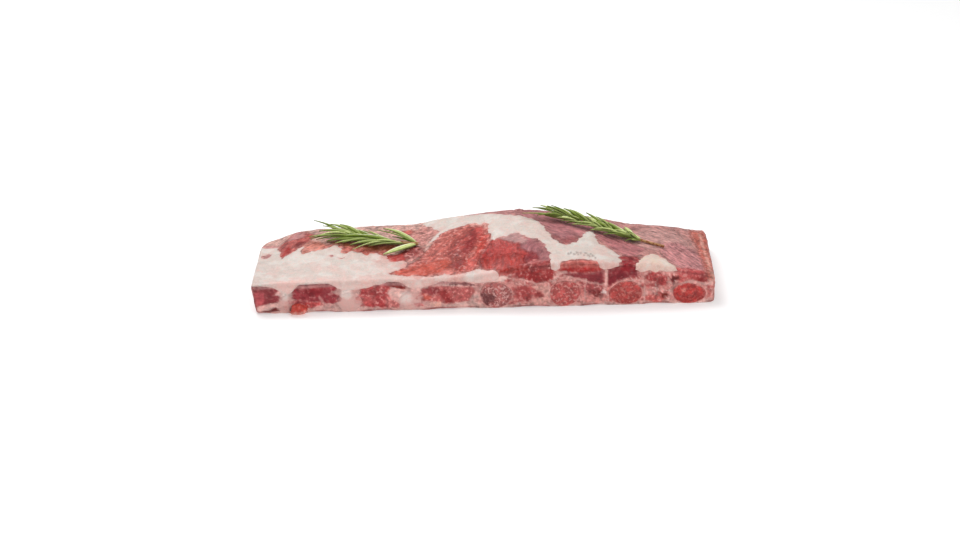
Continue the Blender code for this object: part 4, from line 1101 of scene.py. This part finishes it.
for name, _, _, _, rise in FATS:
    piece = fats[name]
    points = corners_of(piece)
    x, y, z = points.T
    sides = facing(points)
    depth = np.maximum(inside_fat(points), 0.0)
    lip = 1 - np.exp(-depth / LIP)
    heights = lip * (rise + 0.26 * rough(points, 4.0, 3, 1.1) + 0.25 * rough(points, 12.0, 1, 8.1))
    heights = heights * (1 - 0.6 * np.maximum(sides["front"], sides["left"]))
    raise_skin(piece, points, sides, heights * np.maximum.reduce(list(sides.values())))
    pink = 0.7 * np.exp(-depth / 0.9) * smooth_step(rough(points, 2.2, 3, 3.1), -0.4, 0.4)
    pink = np.maximum(pink, 0.35 * smooth_step(rough(points, 8.0, 3, 4.2), 0.15, 0.6))
    # Where it runs out on the sawn front it is thin, and the red below shines through
    thin = sides["front"] * (0.3 + 0.7 * np.exp(-depth / 2.4))
    thin = thin * smooth_step(rough(points, 2.6, 3, 7.7), -0.8, 0.3)
    if name == "fat_cap":
        thin *= smooth_step(np.min([np.abs(x - at) for at in MILKY_SHOW], axis=0), 1.5, 5.0)
        flush = smooth_step(x + 5 * rough(points, 6.0, 3, 2.2), *FLUSH_FROM)
        flush = flush * (1 - smooth_step(x, *FLUSH_TO))
        flush *= 0.45 + 0.55 * smooth_step(rough(points * (0.5, 1, 1), 3.0, 3, 5.9), -0.3, 0.3)
        pink = np.maximum(pink, flush)
    else:
        low = smooth_step(FRONT + 5.0 - y + 2.5 * rough(points, 2.5, 3, 3.3), 0.0, 5.0)
        thin = np.maximum(thin, (0.85 if name == "fat_band" else 0.5) * low)
    shades = mix(plain(FAT_TONES[name], x), FAT_PINK, np.maximum(pink, thin))
    if name == "fat_cap":
        shades = mix(shades, FAT_FLUSH, 0.65 * flush)
        # A blush runs along its front edge, on both sides of it
        blush = 1 - smooth_step(y + 1.2 * rough(points, 5.0, 2, 7.2), *BLUSH_BACK)
        over_foot = z - np.interp(x, *CAP_FOOT.T) + 0.8 * rough(points, 3.0, 3, 4.4)
        blush = blush * smooth_step(over_foot, -0.5, 2.0)
        shades = mix(shades, FAT_BLUSH, 0.75 * blush * smooth_step(x, *BLUSH_FROM) * (1 - 0.6 * flush))
    # Broad soft patches, greyer and pinker
    grey = (name != "fat_knob") * smooth_step(rough(points, 14.0, 2, 6.3), 0.05, 0.45) * lip
    rosy = smooth_step(rough(points, 11.0, 3, 9.1), 0.1, 0.5) * lip
    pale = smooth_step(rough(points, 7.5, 3, 5.9), -0.05, 0.4) * lip
    shades = mix(mix(shades, FAT_GREY, 0.5 * grey), FAT_ROSY, 0.75 * rosy)
    shades = mix(shades, FAT_WHITE, 0.6 * pale * (1 - rosy))
    for spot_x, spot_y, half in SPOTS:
        reach = np.hypot(x - spot_x, (y - spot_y) * SPOT_WIDTH)
        share = 1 - smooth_step(reach, half * 0.5, half * 1.6)
        shades = mix(shades, SPOT_TONE, 0.75 * share)
    keep(piece, "tone", shades - GLOSS)
    crisp(piece)
    fat_finish.finish(piece, Base_Color=colour, Roughness=0.36 + 0.3 * grains,
                      Normal=fat_finish.bump(veins * 0.7 + grains * 0.4, 0.0005, 0.7))
    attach(piece, "root")
    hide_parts(name)

# ---------------------------------------------------------------- the ribs' surface
# Sawn bone is a thin pale ring round a spongy core soaked with red marrow; no two here are the
# same red. Cartilage is smooth and milky, and blends into the pale tissue round it.
# Colour of the core, of its crumbs, and how many crumbs there are
CORES = {
    "bone_1": ((0.43, 0.110, 0.100), (0.78, 0.420, 0.390), 0.8),
    "bone_2": ((0.53, 0.085, 0.076), (0.80, 0.380, 0.340), 0.55),
    "bone_3": ((0.48, 0.054, 0.047), (0.76, 0.270, 0.220), 0.4),
    "bone_4": ((0.47, 0.032, 0.027), (0.74, 0.220, 0.180), 0.25),
}
BLOOD = (0.12, 0.018, 0.020)
RING, RING_START = (0.74, 0.340, 0.305), 0.96
DARK_SIDE = (-5.5, 6.2, 5.0, 4.8)   # on the first bone: from its middle, height, and half-widths
LIT = (101, 7.6)                    # a painted highlight on a pale crumb of the last one: X and height
CARTILAGE_VEIN = (0.76, 0.360, 0.320)
bone = Finish("sawn_bone", Subsurface_Weight=0.06, Subsurface_Radius=(0.003, 0.001, 0.0008),
              Subsurface_Scale=1.0, Coat_Weight=0.2, Coat_Roughness=0.2, Specular_IOR_Level=0.4)
tone, place, flecks = bone.read("tone", "Color"), bone.millimetres(), bone.read("flecks")
crumb_tone = bone.read("crumb", "Color")
sponge = bone.node("ShaderNodeTexVoronoi", {"feature": "DISTANCE_TO_EDGE"}, {
    "Vector": place, "Scale": 0.8, "Randomness": 1.0}, "Distance")
grit = bone.noise(place, 0.75, 2.0, 0.55)
pores = bone.noise(place, 0.55, 2.5, 0.6)
colour = bone.dim(tone, 0.60 + 0.8 * pores)
colour = bone.mix(bone.band(pores, 0.46, 0.34) * 0.35, colour, BLOOD)
walls = bone.band(sponge, 0.22, 0.06) * bone.band(grit, 0.44, 0.60) * flecks * 0.6
colour = bone.mix(walls, colour, crumb_tone)
colour = bone.mix(bone.band(grit, 0.54, 0.64) * flecks * 0.8, colour, crumb_tone)
bone_links = {"Base_Color": colour, "Roughness": 0.32 + 0.3 * grit,
              "Normal": bone.bump(grit, 0.0007, 0.9)}
cartilage = Finish("sawn_cartilage", Subsurface_Weight=0.2, Subsurface_Radius=(0.003, 0.0018, 0.0014),
                   Subsurface_Scale=1.0, Coat_Weight=0.15, Coat_Roughness=0.2, Specular_IOR_Level=0.4)
tone, place = cartilage.read("tone", "Color"), cartilage.millimetres()
milk = cartilage.noise(place, 0.5, 3.0, 0.6)
cartilage_links = {
    "Base_Color": cartilage.mix(cartilage.band(milk, 0.50, 0.66, 0.0, 0.5),
                                cartilage.dim(tone, 0.82 + 0.36 * milk), CARTILAGE_VEIN),
    "Roughness": 0.36 + 0.25 * milk, "Normal": cartilage.bump(milk, 0.0006, 0.6)}
for name, front_x, width, height, proud in RIBS:
    piece, rim = ribs[name], rib_rims[name]
    points = corners_of(piece)
    x, y, z = points.T
    end = np.where(y > 0, 1.0, -1.0) * smooth_step(np.abs(y), -FRONT - 1.0, -FRONT)
    core = 1 - smooth_step(rim, 0.80, 0.95)
    if name in CORES:
        colour, crumb, amount = CORES[name]
        heights = core * (0.24 * rough(points, 1.2, 2, 2.2) - 0.2) + 0.12 * rough(points, 3.0, 2)
        blotch = smooth_step(rough(points, 3.5, 3, 5.2), -0.3, 0.5)
        shades = np.array(colour) * (0.75 + 0.45 * blotch[:, None])
        if name == "bone_1":
            from_middle, height_at, half_x, half_z = DARK_SIDE
            reach = np.hypot((x - front_x - from_middle) / half_x, (z - height_at) / half_z)
            dark_side = 1 - smooth_step(reach + 0.5 * rough(points, 3.0, 3), 0.6, 1.2)
            shades = mix(shades, BLOOD, 0.85 * dark_side)
            amount = amount * (1 - 0.85 * dark_side)
        # On the last bone a pale crumb is painted in as a highlight
        if name == "bone_4":
            reach = np.hypot(x - LIT[0], z - LIT[1]) + 0.6 * rough(points, 1.5)
            lit = 1 - smooth_step(reach, 0.6, 1.8)
            shades = mix(shades, crumb, lit)
        ring = smooth_step(rim + 0.09 * rough(points, 2.2, 3), RING_START - 0.05, RING_START + 0.04)
        shades = mix(shades, RING, 0.8 * ring * (0.4 + 0.6 * blotch))
        keep(piece, "flecks", np.broadcast_to(amount, len(x)) * (1 - 0.6 * ring))
        keep(piece, "crumb", plain(crumb, x))
    else:
        heights = core * (0.2 + 0.14 * rough(points, 2.5, 3))
        shades = paint_cut(x, z)[0]
    moved = points.copy()
    moved[:, 1] += end * heights
    put_corners(piece, moved)
    keep(piece, "tone", shades - GLOSS)
    crisp(piece)
    if name in CORES:
        bone.finish(piece, **bone_links)
    else:
        cartilage.finish(piece, **cartilage_links)
    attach(piece, "root")
    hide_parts(name)

# ---------------------------------------------------------------- rosemary
# Two fresh sprigs lie across the meat. Each is a thin woody stem with narrow leathery leaves that
# roll under at their edges, olive green above with a pale line along the middle, and pale below.
CLEARANCE = 0.45            # of a leaf or stem over the slab
LEAF_WIDTH, LEAF_THICK, LEAF_ROWS = 2.6, 0.75, 18
# Across a leaf, its outline as a share of its half-width and of its thickness
LEAF_SECTION = [(-1.0, -0.30), (-0.82, 0.10), (-0.5, 0.36), (-0.2, 0.40), (0.0, 0.18), (0.2, 0.40),
                (0.5, 0.36), (0.82, 0.10), (1.0, -0.30), (0.78, -0.46), (0.5, -0.20), (0.2, -0.16),
                (0.0, -0.34), (-0.2, -0.16), (-0.5, -0.20), (-0.78, -0.46)]
STEM_SIDES, STEM_STEPS = 14, 60
KNOTS, KNOT_HEIGHT = 75, 0.12       # how often the stem thickens, and by how much
LEAF_GREEN, LEAF_YELLOW, LEAF_UNDER = (0.130, 0.195, 0.004), (0.780, 0.850, 0.360), (0.30, 0.360, 0.130)
LEAF_BASE, LEAF_TIP, LEAF_LINE = (0.42, 0.44, 0.15), (0.16, 0.13, 0.06), (0.40, 0.46, 0.17)
# Painted highlight and painted shade for the two sides of a leaf
LEAF_PAINTED_HIGHLIGHT, LEAF_PAINTED_SHADE = (0.90, 0.960, 0.700), (0.055, 0.090, 0.002)
WOOD_DARK, WOOD_PALE = (0.34, 0.130, 0.060), (0.52, 0.320, 0.150)
# Stem points and leaf tips, as X, Y and height over the slab; each leaf also has its length, how
# yellow it is, and its width. By each stand its kin, a few smaller ones that stray from it, and
# a shade over 1 makes the yellow ones among them rare. The radius is that of the stem's foot and
# of its top, and bare is how much more of its foot is woody.
SPRIGS = {
    "rosemary_left": dict(
        seed=3, radius=(0.9, 0.6), bare=0.0, kin=1, stray=1.3, shade=1.5,
        stem=[(-36.2, -7.6, 1.4), (-45.4, -4, 1.4), (-58.4, -0.5, 2.0), (-65.3, 1.3, 2.6),
              (-73.8, 3.4, 3.4)],
        leaves=[
            (-90.4, 19.4, 7.0, 25, 0.1, 1.0), (-88.1, 7.5, 5.0, 22, 0.15, 1.0),
            (-93.5, 4.5, 3.5, 25, 0.5, 1.1), (-92.7, 4.4, 2.0, 25, 0.25, 1.1),
            (-84.4, 1.8, 1.2, 25, 0.2, 1.1), (-71.0, -9.6, 1.4, 22, 1.0, 1.0),
            (-54.8, -14.8, 1.0, 21, 0.75, 1.3), (-57.2, 6.5, 4.6, 27, 0.3, 0.9),
            (-53.9, 8.4, 4.5, 25, 0.6, 0.8), (-62.5, -6.5, 1.4, 20, 0.7, 1.0),
            (-82.0, 14.0, 6.0, 22, 0.3, 1.0), (-77.0, 11.4, 6.4, 19, 0.2, 1.0),
            (-86.0, 11.0, 6.6, 23, 0.5, 1.0), (-76.0, -1.5, 1.6, 22, 0.3, 1.1),
            (-72.0, 7.5, 5.6, 18, 0.1, 1.0), (-80.0, -1.0, 1.2, 23, 0.5, 1.1),
            (-72.0, -4.0, 1.2, 22, 0.3, 1.1), (-66.0, -3.6, 1.2, 20, 0.6, 1.1),
            (-80.0, 6.0, 4.6, 20, 0.2, 1.1), (-66.0, 6.0, 4.6, 19, 0.4, 1.0),
            (-68.0, 0.5, 4.4, 20, 0.1, 1.0)]),
    "rosemary_right": dict(
        seed=8, radius=(0.75, 0.6), bare=0.16, kin=3, stray=1.6, shade=0.7,
        stem=[(94.9, -10.8, 0.8), (89.6, -7.2, 0.8), (84.2, -4.6, 1.2), (72.3, -2.4, 2.2), (56.6, 2.4, 2.8),
              (45, 7.6, 3.4), (38, 11, 4.2)],
        leaves=[
            (20.8, 11.1, 3.0, 25, 0.4, 1.0), (31.4, 15.6, 6.0, 21, 0.7, 0.9),
            (36.9, 13.9, 7.0, 19, 0.1, 1.0), (33.4, 11.5, 1.8, 20, 0.3, 1.0),
            (41.1, 7.3, 1.2, 18, 0.6, 1.0), (55.3, 9.1, 7.0, 20, 0.1, 0.9), (75.1, -4.7, 4.6, 9, 0.5, 1.0),
            (56.5, -1.0, 1.2, 18, 0.4, 1.0), (74.3, -8.2, 1.2, 10.5, 0.2, 1.0),
            (47.0, 3.0, 1.3, 17, 0.5, 1.0), (63.0, -4.0, 1.2, 17, 0.3, 1.0),
            (27.0, 15.0, 4.6, 23, 0.5, 1.0), (38.0, 14.5, 5.8, 19, 0.2, 1.0),
            (46.4, 10.0, 7.2, 18, 0.4, 1.0), (43.4, 11.0, 7.0, 18, 0.1, 1.0),
            (51.0, 8.6, 5.8, 18, 0.6, 1.0), (63.6, 3.6, 6.0, 17, 0.2, 1.0), (62.0, 5.6, 4.2, 18, 0.4, 1.0),
            (67.4, -3.6, 3.6, 15, 0.3, 1.0), (56.6, 4.8, 5.0, 17, 0.1, 1.0), (71.0, 2.6, 3.4, 14, 0.4, 1.0),
            (49.4, 8.6, 6.2, 18, 0.2, 1.0), (68.0, 0.6, 4.6, 13, 0.1, 1.0), (77.0, -0.6, 2.6, 8, 0.4, 0.9),
            (76.2, 4.5, 4.0, 10, 0.8, 0.9), (34.6, 13.6, 6.6, 19, 0.3, 1.0)]),
}


def rest_height(x, y):
    """Height of the slab below one place."""
    return float(crown(np.array([x]), np.array([y]))[0])


def over_slab(x, y, height, half):
    """A point at a height over the slab, never so low that it would sink into it."""
    return np.array([x, y, rest_height(x, y) + max(height, CLEARANCE + half)])


def soft_path(points, share):
    """The point at a share of a smooth line through points."""
    place = share * (len(points) - 1)
    i = min(int(place), len(points) - 2)
    t = place - i
    return curve(*(points[min(max(k, 0), len(points) - 1)] for k in range(i - 1, i + 3)), t)


def across_frame(run):
    """Sideways and upward directions for something that runs this way."""
    side = np.cross(run, (0.0, 0.0, 1.0))
    side /= np.linalg.norm(side)
    up = np.cross(side, run)
    return side, up / np.linalg.norm(up)


def leaf_width(share):
    """Half-width along a leaf, as a share of its widest: narrow at the stem, blunt at the tip."""
    return (0.34 + 0.66 * smooth_step(share, 0.0, 0.2)) * np.sqrt(np.maximum(
        1 - 0.94 * smooth_step(share, 0.5, 1.0), 0.0))


def leaf(base, tip, bow, width, roll, wave):
    """The corners of one leaf, and where each lies on it: along, across, and over or under."""
    run = tip - base
    length = np.linalg.norm(run)
    side, up = across_frame(run)
    corners, places = [], []
    for row in range(LEAF_ROWS + 1):
        share = row / LEAF_ROWS
        half = width / 2 * float(leaf_width(share))
        centre = base + run * share + up * bow * length * 4 * share * (1 - share)
        centre = centre + side * wave * math.sin(5.0 * share + base[0])
        lowest = rest_height(centre[0], centre[1]) + CLEARANCE + LEAF_THICK / 2
        centre[2] = max(centre[2], lowest)
        turn = roll * (0.4 + share)
        for across, lift in LEAF_SECTION:
            level = lift * LEAF_THICK * (0.45 + 0.55 * half / (width / 2))
            out = across * half * math.cos(turn) - level * math.sin(turn)
            rise = across * half * math.sin(turn) + level * math.cos(turn)
            corners.append(centre + side * out + up * rise)
            places.append((share, across, 1.0 if lift > 0 or abs(across) > 0.9 else 0.0))
    return corners, places


green = Finish("rosemary", Subsurface_Weight=0.05, Subsurface_Radius=(0.0006, 0.001, 0.0003),
               Subsurface_Scale=1.0, Specular_IOR_Level=0.12)
spot, hue = green.read("spot", "Vector"), green.read("hue")
along, across, above = [green.node("ShaderNodeSeparateXYZ", {}, {0: spot}, axis) for axis in "XYZ"]
place = green.millimetres()
streak = green.noise(place, 0.8, 3.0, 0.55)
fresh = green.mix(hue, LEAF_GREEN, LEAF_YELLOW)
fresh = green.mix(green.band(along, 0.30, 0.02, 0.0, 0.4), fresh, LEAF_BASE)
fresh = green.mix(green.band(along, 0.90, 1.0, 0.0, 0.5), fresh, LEAF_TIP)
rib_line = green.band(green.node("ShaderNodeMath", {"operation": "ABSOLUTE"}, {0: across}), 0.22, 0.05)
fresh = green.mix(rib_line * 0.5, fresh, LEAF_LINE)
# A painted highlight runs along one side of each leaf, where it would catch the light, and painted shade
# along the other, which rolls away from it
fresh = green.mix(green.band(across, 0.25, 0.65, 0.0, 0.8), fresh, LEAF_PAINTED_HIGHLIGHT)
fresh = green.mix(green.band(across, -0.30, -0.85, 0.0, 0.6), fresh, LEAF_PAINTED_SHADE)
leaf_colour = green.mix(above, LEAF_UNDER, fresh)
wood = green.mix(green.band(streak, 0.4, 0.6), WOOD_DARK, WOOD_PALE)
woody = green.read("woody")
leaf_colour = green.dim(leaf_colour, 0.70 + 0.8 * streak)
green_colour = green.mix(woody, leaf_colour, wood)

for name, sprig in SPRIGS.items():
    draw = random.Random(sprig["seed"])
    stem = [over_slab(x, y, height, sprig["radius"][0]) for x, y, height in sprig["stem"]]
    corners, places, hues, woods = [], [], [], []
    for step in range(STEM_STEPS + 1):
        share = step / STEM_STEPS
        centre = soft_path(stem, share)
        run = soft_path(stem, min(share + 0.01, 1)) - soft_path(stem, max(share - 0.01, 0))
        side, up = across_frame(run)
        radius = sprig["radius"][0] + (sprig["radius"][1] - sprig["radius"][0]) * share
        radius *= 1 + KNOT_HEIGHT * max(math.sin(share * KNOTS), 0.0)**3
        for turn in range(STEM_SIDES):
            angle = 2 * math.pi * turn / STEM_SIDES
            corners.append(centre + radius * (side * math.cos(angle) + up * math.sin(angle)))
            places.append((share, 0.6, 1.0))
            hues.append(0.5)
            woods.append(1.0 if share < sprig["bare"] + 0.25 else 0.6)
    faces = tube_faces(STEM_STEPS + 1, STEM_SIDES, 0)
    samples = [soft_path(stem, i / STEM_STEPS) for i in range(STEM_STEPS + 1)]
    for x, y, height, length, yellow, breadth in sprig["leaves"]:
        tip = over_slab(x, y, height, LEAF_THICK / 2)
        base = next((point for point in samples if np.linalg.norm(point - tip) <= length), samples[0])
        kin = [(tip, draw.uniform(0.03, 0.09), LEAF_WIDTH * breadth, yellow)]
        for _ in range(sprig["kin"]):
            loose = sprig["stray"]
            stray = np.array([draw.uniform(low, loose) for low in (-loose, -loose, -0.5)])
            reach = draw.uniform(0.5, 0.85)
            kin.append((base + (tip - base) * reach + stray, draw.uniform(0.0, 0.12),
                        LEAF_WIDTH * draw.uniform(0.6, 0.85), draw.uniform(0.0, 1.0)**sprig["shade"]))
        for leaf_tip, bow, width, hue_share in kin:
            first = len(corners)
            more, where = leaf(base, leaf_tip, bow, width, draw.uniform(-0.5, 0.5), draw.uniform(-0.4, 0.4))
            corners += more
            places += where
            hues += [hue_share] * len(more)
            woods += [0.0] * len(more)
            faces += tube_faces(LEAF_ROWS + 1, len(LEAF_SECTION), first)
    piece = make("sprig_" + name.split("_")[1], corners, faces)
    keep(piece, "spot", np.array(places))
    keep(piece, "hue", np.array(hues))
    keep(piece, "woody", np.array(woods))
    green.finish(piece, Base_Color=green_colour, Roughness=0.42 + 0.25 * streak,
                 Normal=green.bump(streak, 0.0002, 0.4))
    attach(piece, "root")
    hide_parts(name)

# ---------------------------------------------------------------- floor, light and camera
# A plain white floor under soft white light, brightest from above and behind. The surroundings
# are darker towards the horizon, so moist surfaces keep their colour.
FLOOR = 4.0
AZIMUTH, ELEVATION, ROLL = math.radians(4.8), math.radians(22.0), math.radians(0.42)
DISTANCE, LENS, SENSOR = 1075.0, 76.65, 36.0
AIM = (-2.5, -21.7, 13.5)       # what the camera looks at, before it is shifted up
AIM_UP = 0.63
SKY_LOW, SKY_HIGH = 0.12, 0.62  # brightness of the surroundings at the horizon and overhead
WHITE = (1.0, 1.0, 1.0)
floor_mesh = bpy.data.meshes.new("floor")
floor_mesh.from_pydata([(-FLOOR, -FLOOR, 0), (FLOOR, -FLOOR, 0), (FLOOR, FLOOR, 0), (-FLOOR, FLOOR, 0)],
                       [], [(0, 1, 2, 3)])
floor = bpy.data.objects.new("floor", floor_mesh)
bpy.context.scene.collection.objects.link(floor)
Finish("white_floor", Base_Color=(0.78, 0.78, 0.78, 1.0), Roughness=0.8,
       Emission_Color=(1.0, 1.0, 1.0, 1.0), Emission_Strength=0.34).finish(floor)

world = bpy.data.worlds.new("soft_white")
world.use_nodes = True
sky = Wiring(world.node_tree)
height = sky.node("ShaderNodeSeparateXYZ", {}, {
    0: sky.node("ShaderNodeTexCoord", {}, {}, "Generated")}, "Z")
glow = sky.tree.nodes["Background"]
sky.join(glow.inputs["Color"], WHITE)
sky.join(glow.inputs["Strength"], sky.node("ShaderNodeMapRange", {}, {
    "Value": height, "From Min": 0.0, "From Max": 1.0, "To Min": SKY_LOW, "To Max": SKY_HIGH}))
# The camera itself sees plain white behind the floor
seen = sky.node("ShaderNodeMixShader", {}, {
    0: sky.node("ShaderNodeLightPath", {}, {}, "Is Camera Ray"),
    1: Wire(sky, glow.outputs[0]), 2: sky.node("ShaderNodeBackground", {}, {"Color": WHITE})})
sky.join(sky.tree.nodes["World Output"].inputs["Surface"], seen)
bpy.context.scene.world = world
bpy.context.scene.view_settings.view_transform = "Standard"


def softbox(name, place, target, size, power):
    """A large square lamp that faces a point; places in metres."""
    lamp = bpy.data.lights.new(name, "AREA")
    lamp.size, lamp.energy = size, power
    made = bpy.data.objects.new(name, lamp)
    made.location = place
    made.rotation_euler = (Vector(target) - Vector(place)).to_track_quat("-Z", "Y").to_euler()
    bpy.context.scene.collection.objects.link(made)


softbox("key", (-0.35, 0.45, 1.0), (0, 0, 0), 0.7, 8.0)
softbox("fill", (0.5, -0.9, 0.7), (0, 0, 0), 0.9, 4.2)


def turned(x, y, z):
    """A direction or place turned with the camera about the slab."""
    return Vector((x * math.cos(AZIMUTH) + y * math.sin(AZIMUTH),
                   y * math.cos(AZIMUTH) - x * math.sin(AZIMUTH), z))


forward = turned(0, math.cos(ELEVATION), -math.sin(ELEVATION))
upward = turned(0, math.sin(ELEVATION), math.cos(ELEVATION))
sideways = turned(1, 0, 0)
eye = turned(*AIM) - forward * DISTANCE + upward * AIM_UP + Vector(CENTRE)
right = sideways * math.cos(ROLL) + upward * math.sin(ROLL)
up = upward * math.cos(ROLL) - sideways * math.sin(ROLL)
camera = bpy.data.objects.new("camera", bpy.data.cameras.new("camera"))
camera.data.lens, camera.data.sensor_width = LENS, SENSOR
camera.matrix_world = Matrix((
    (right.x, up.x, -forward.x, eye.x * MM), (right.y, up.y, -forward.y, eye.y * MM),
    (right.z, up.z, -forward.z, eye.z * MM), (0, 0, 0, 1)))
bpy.context.scene.collection.objects.link(camera)
bpy.context.scene.camera = camera
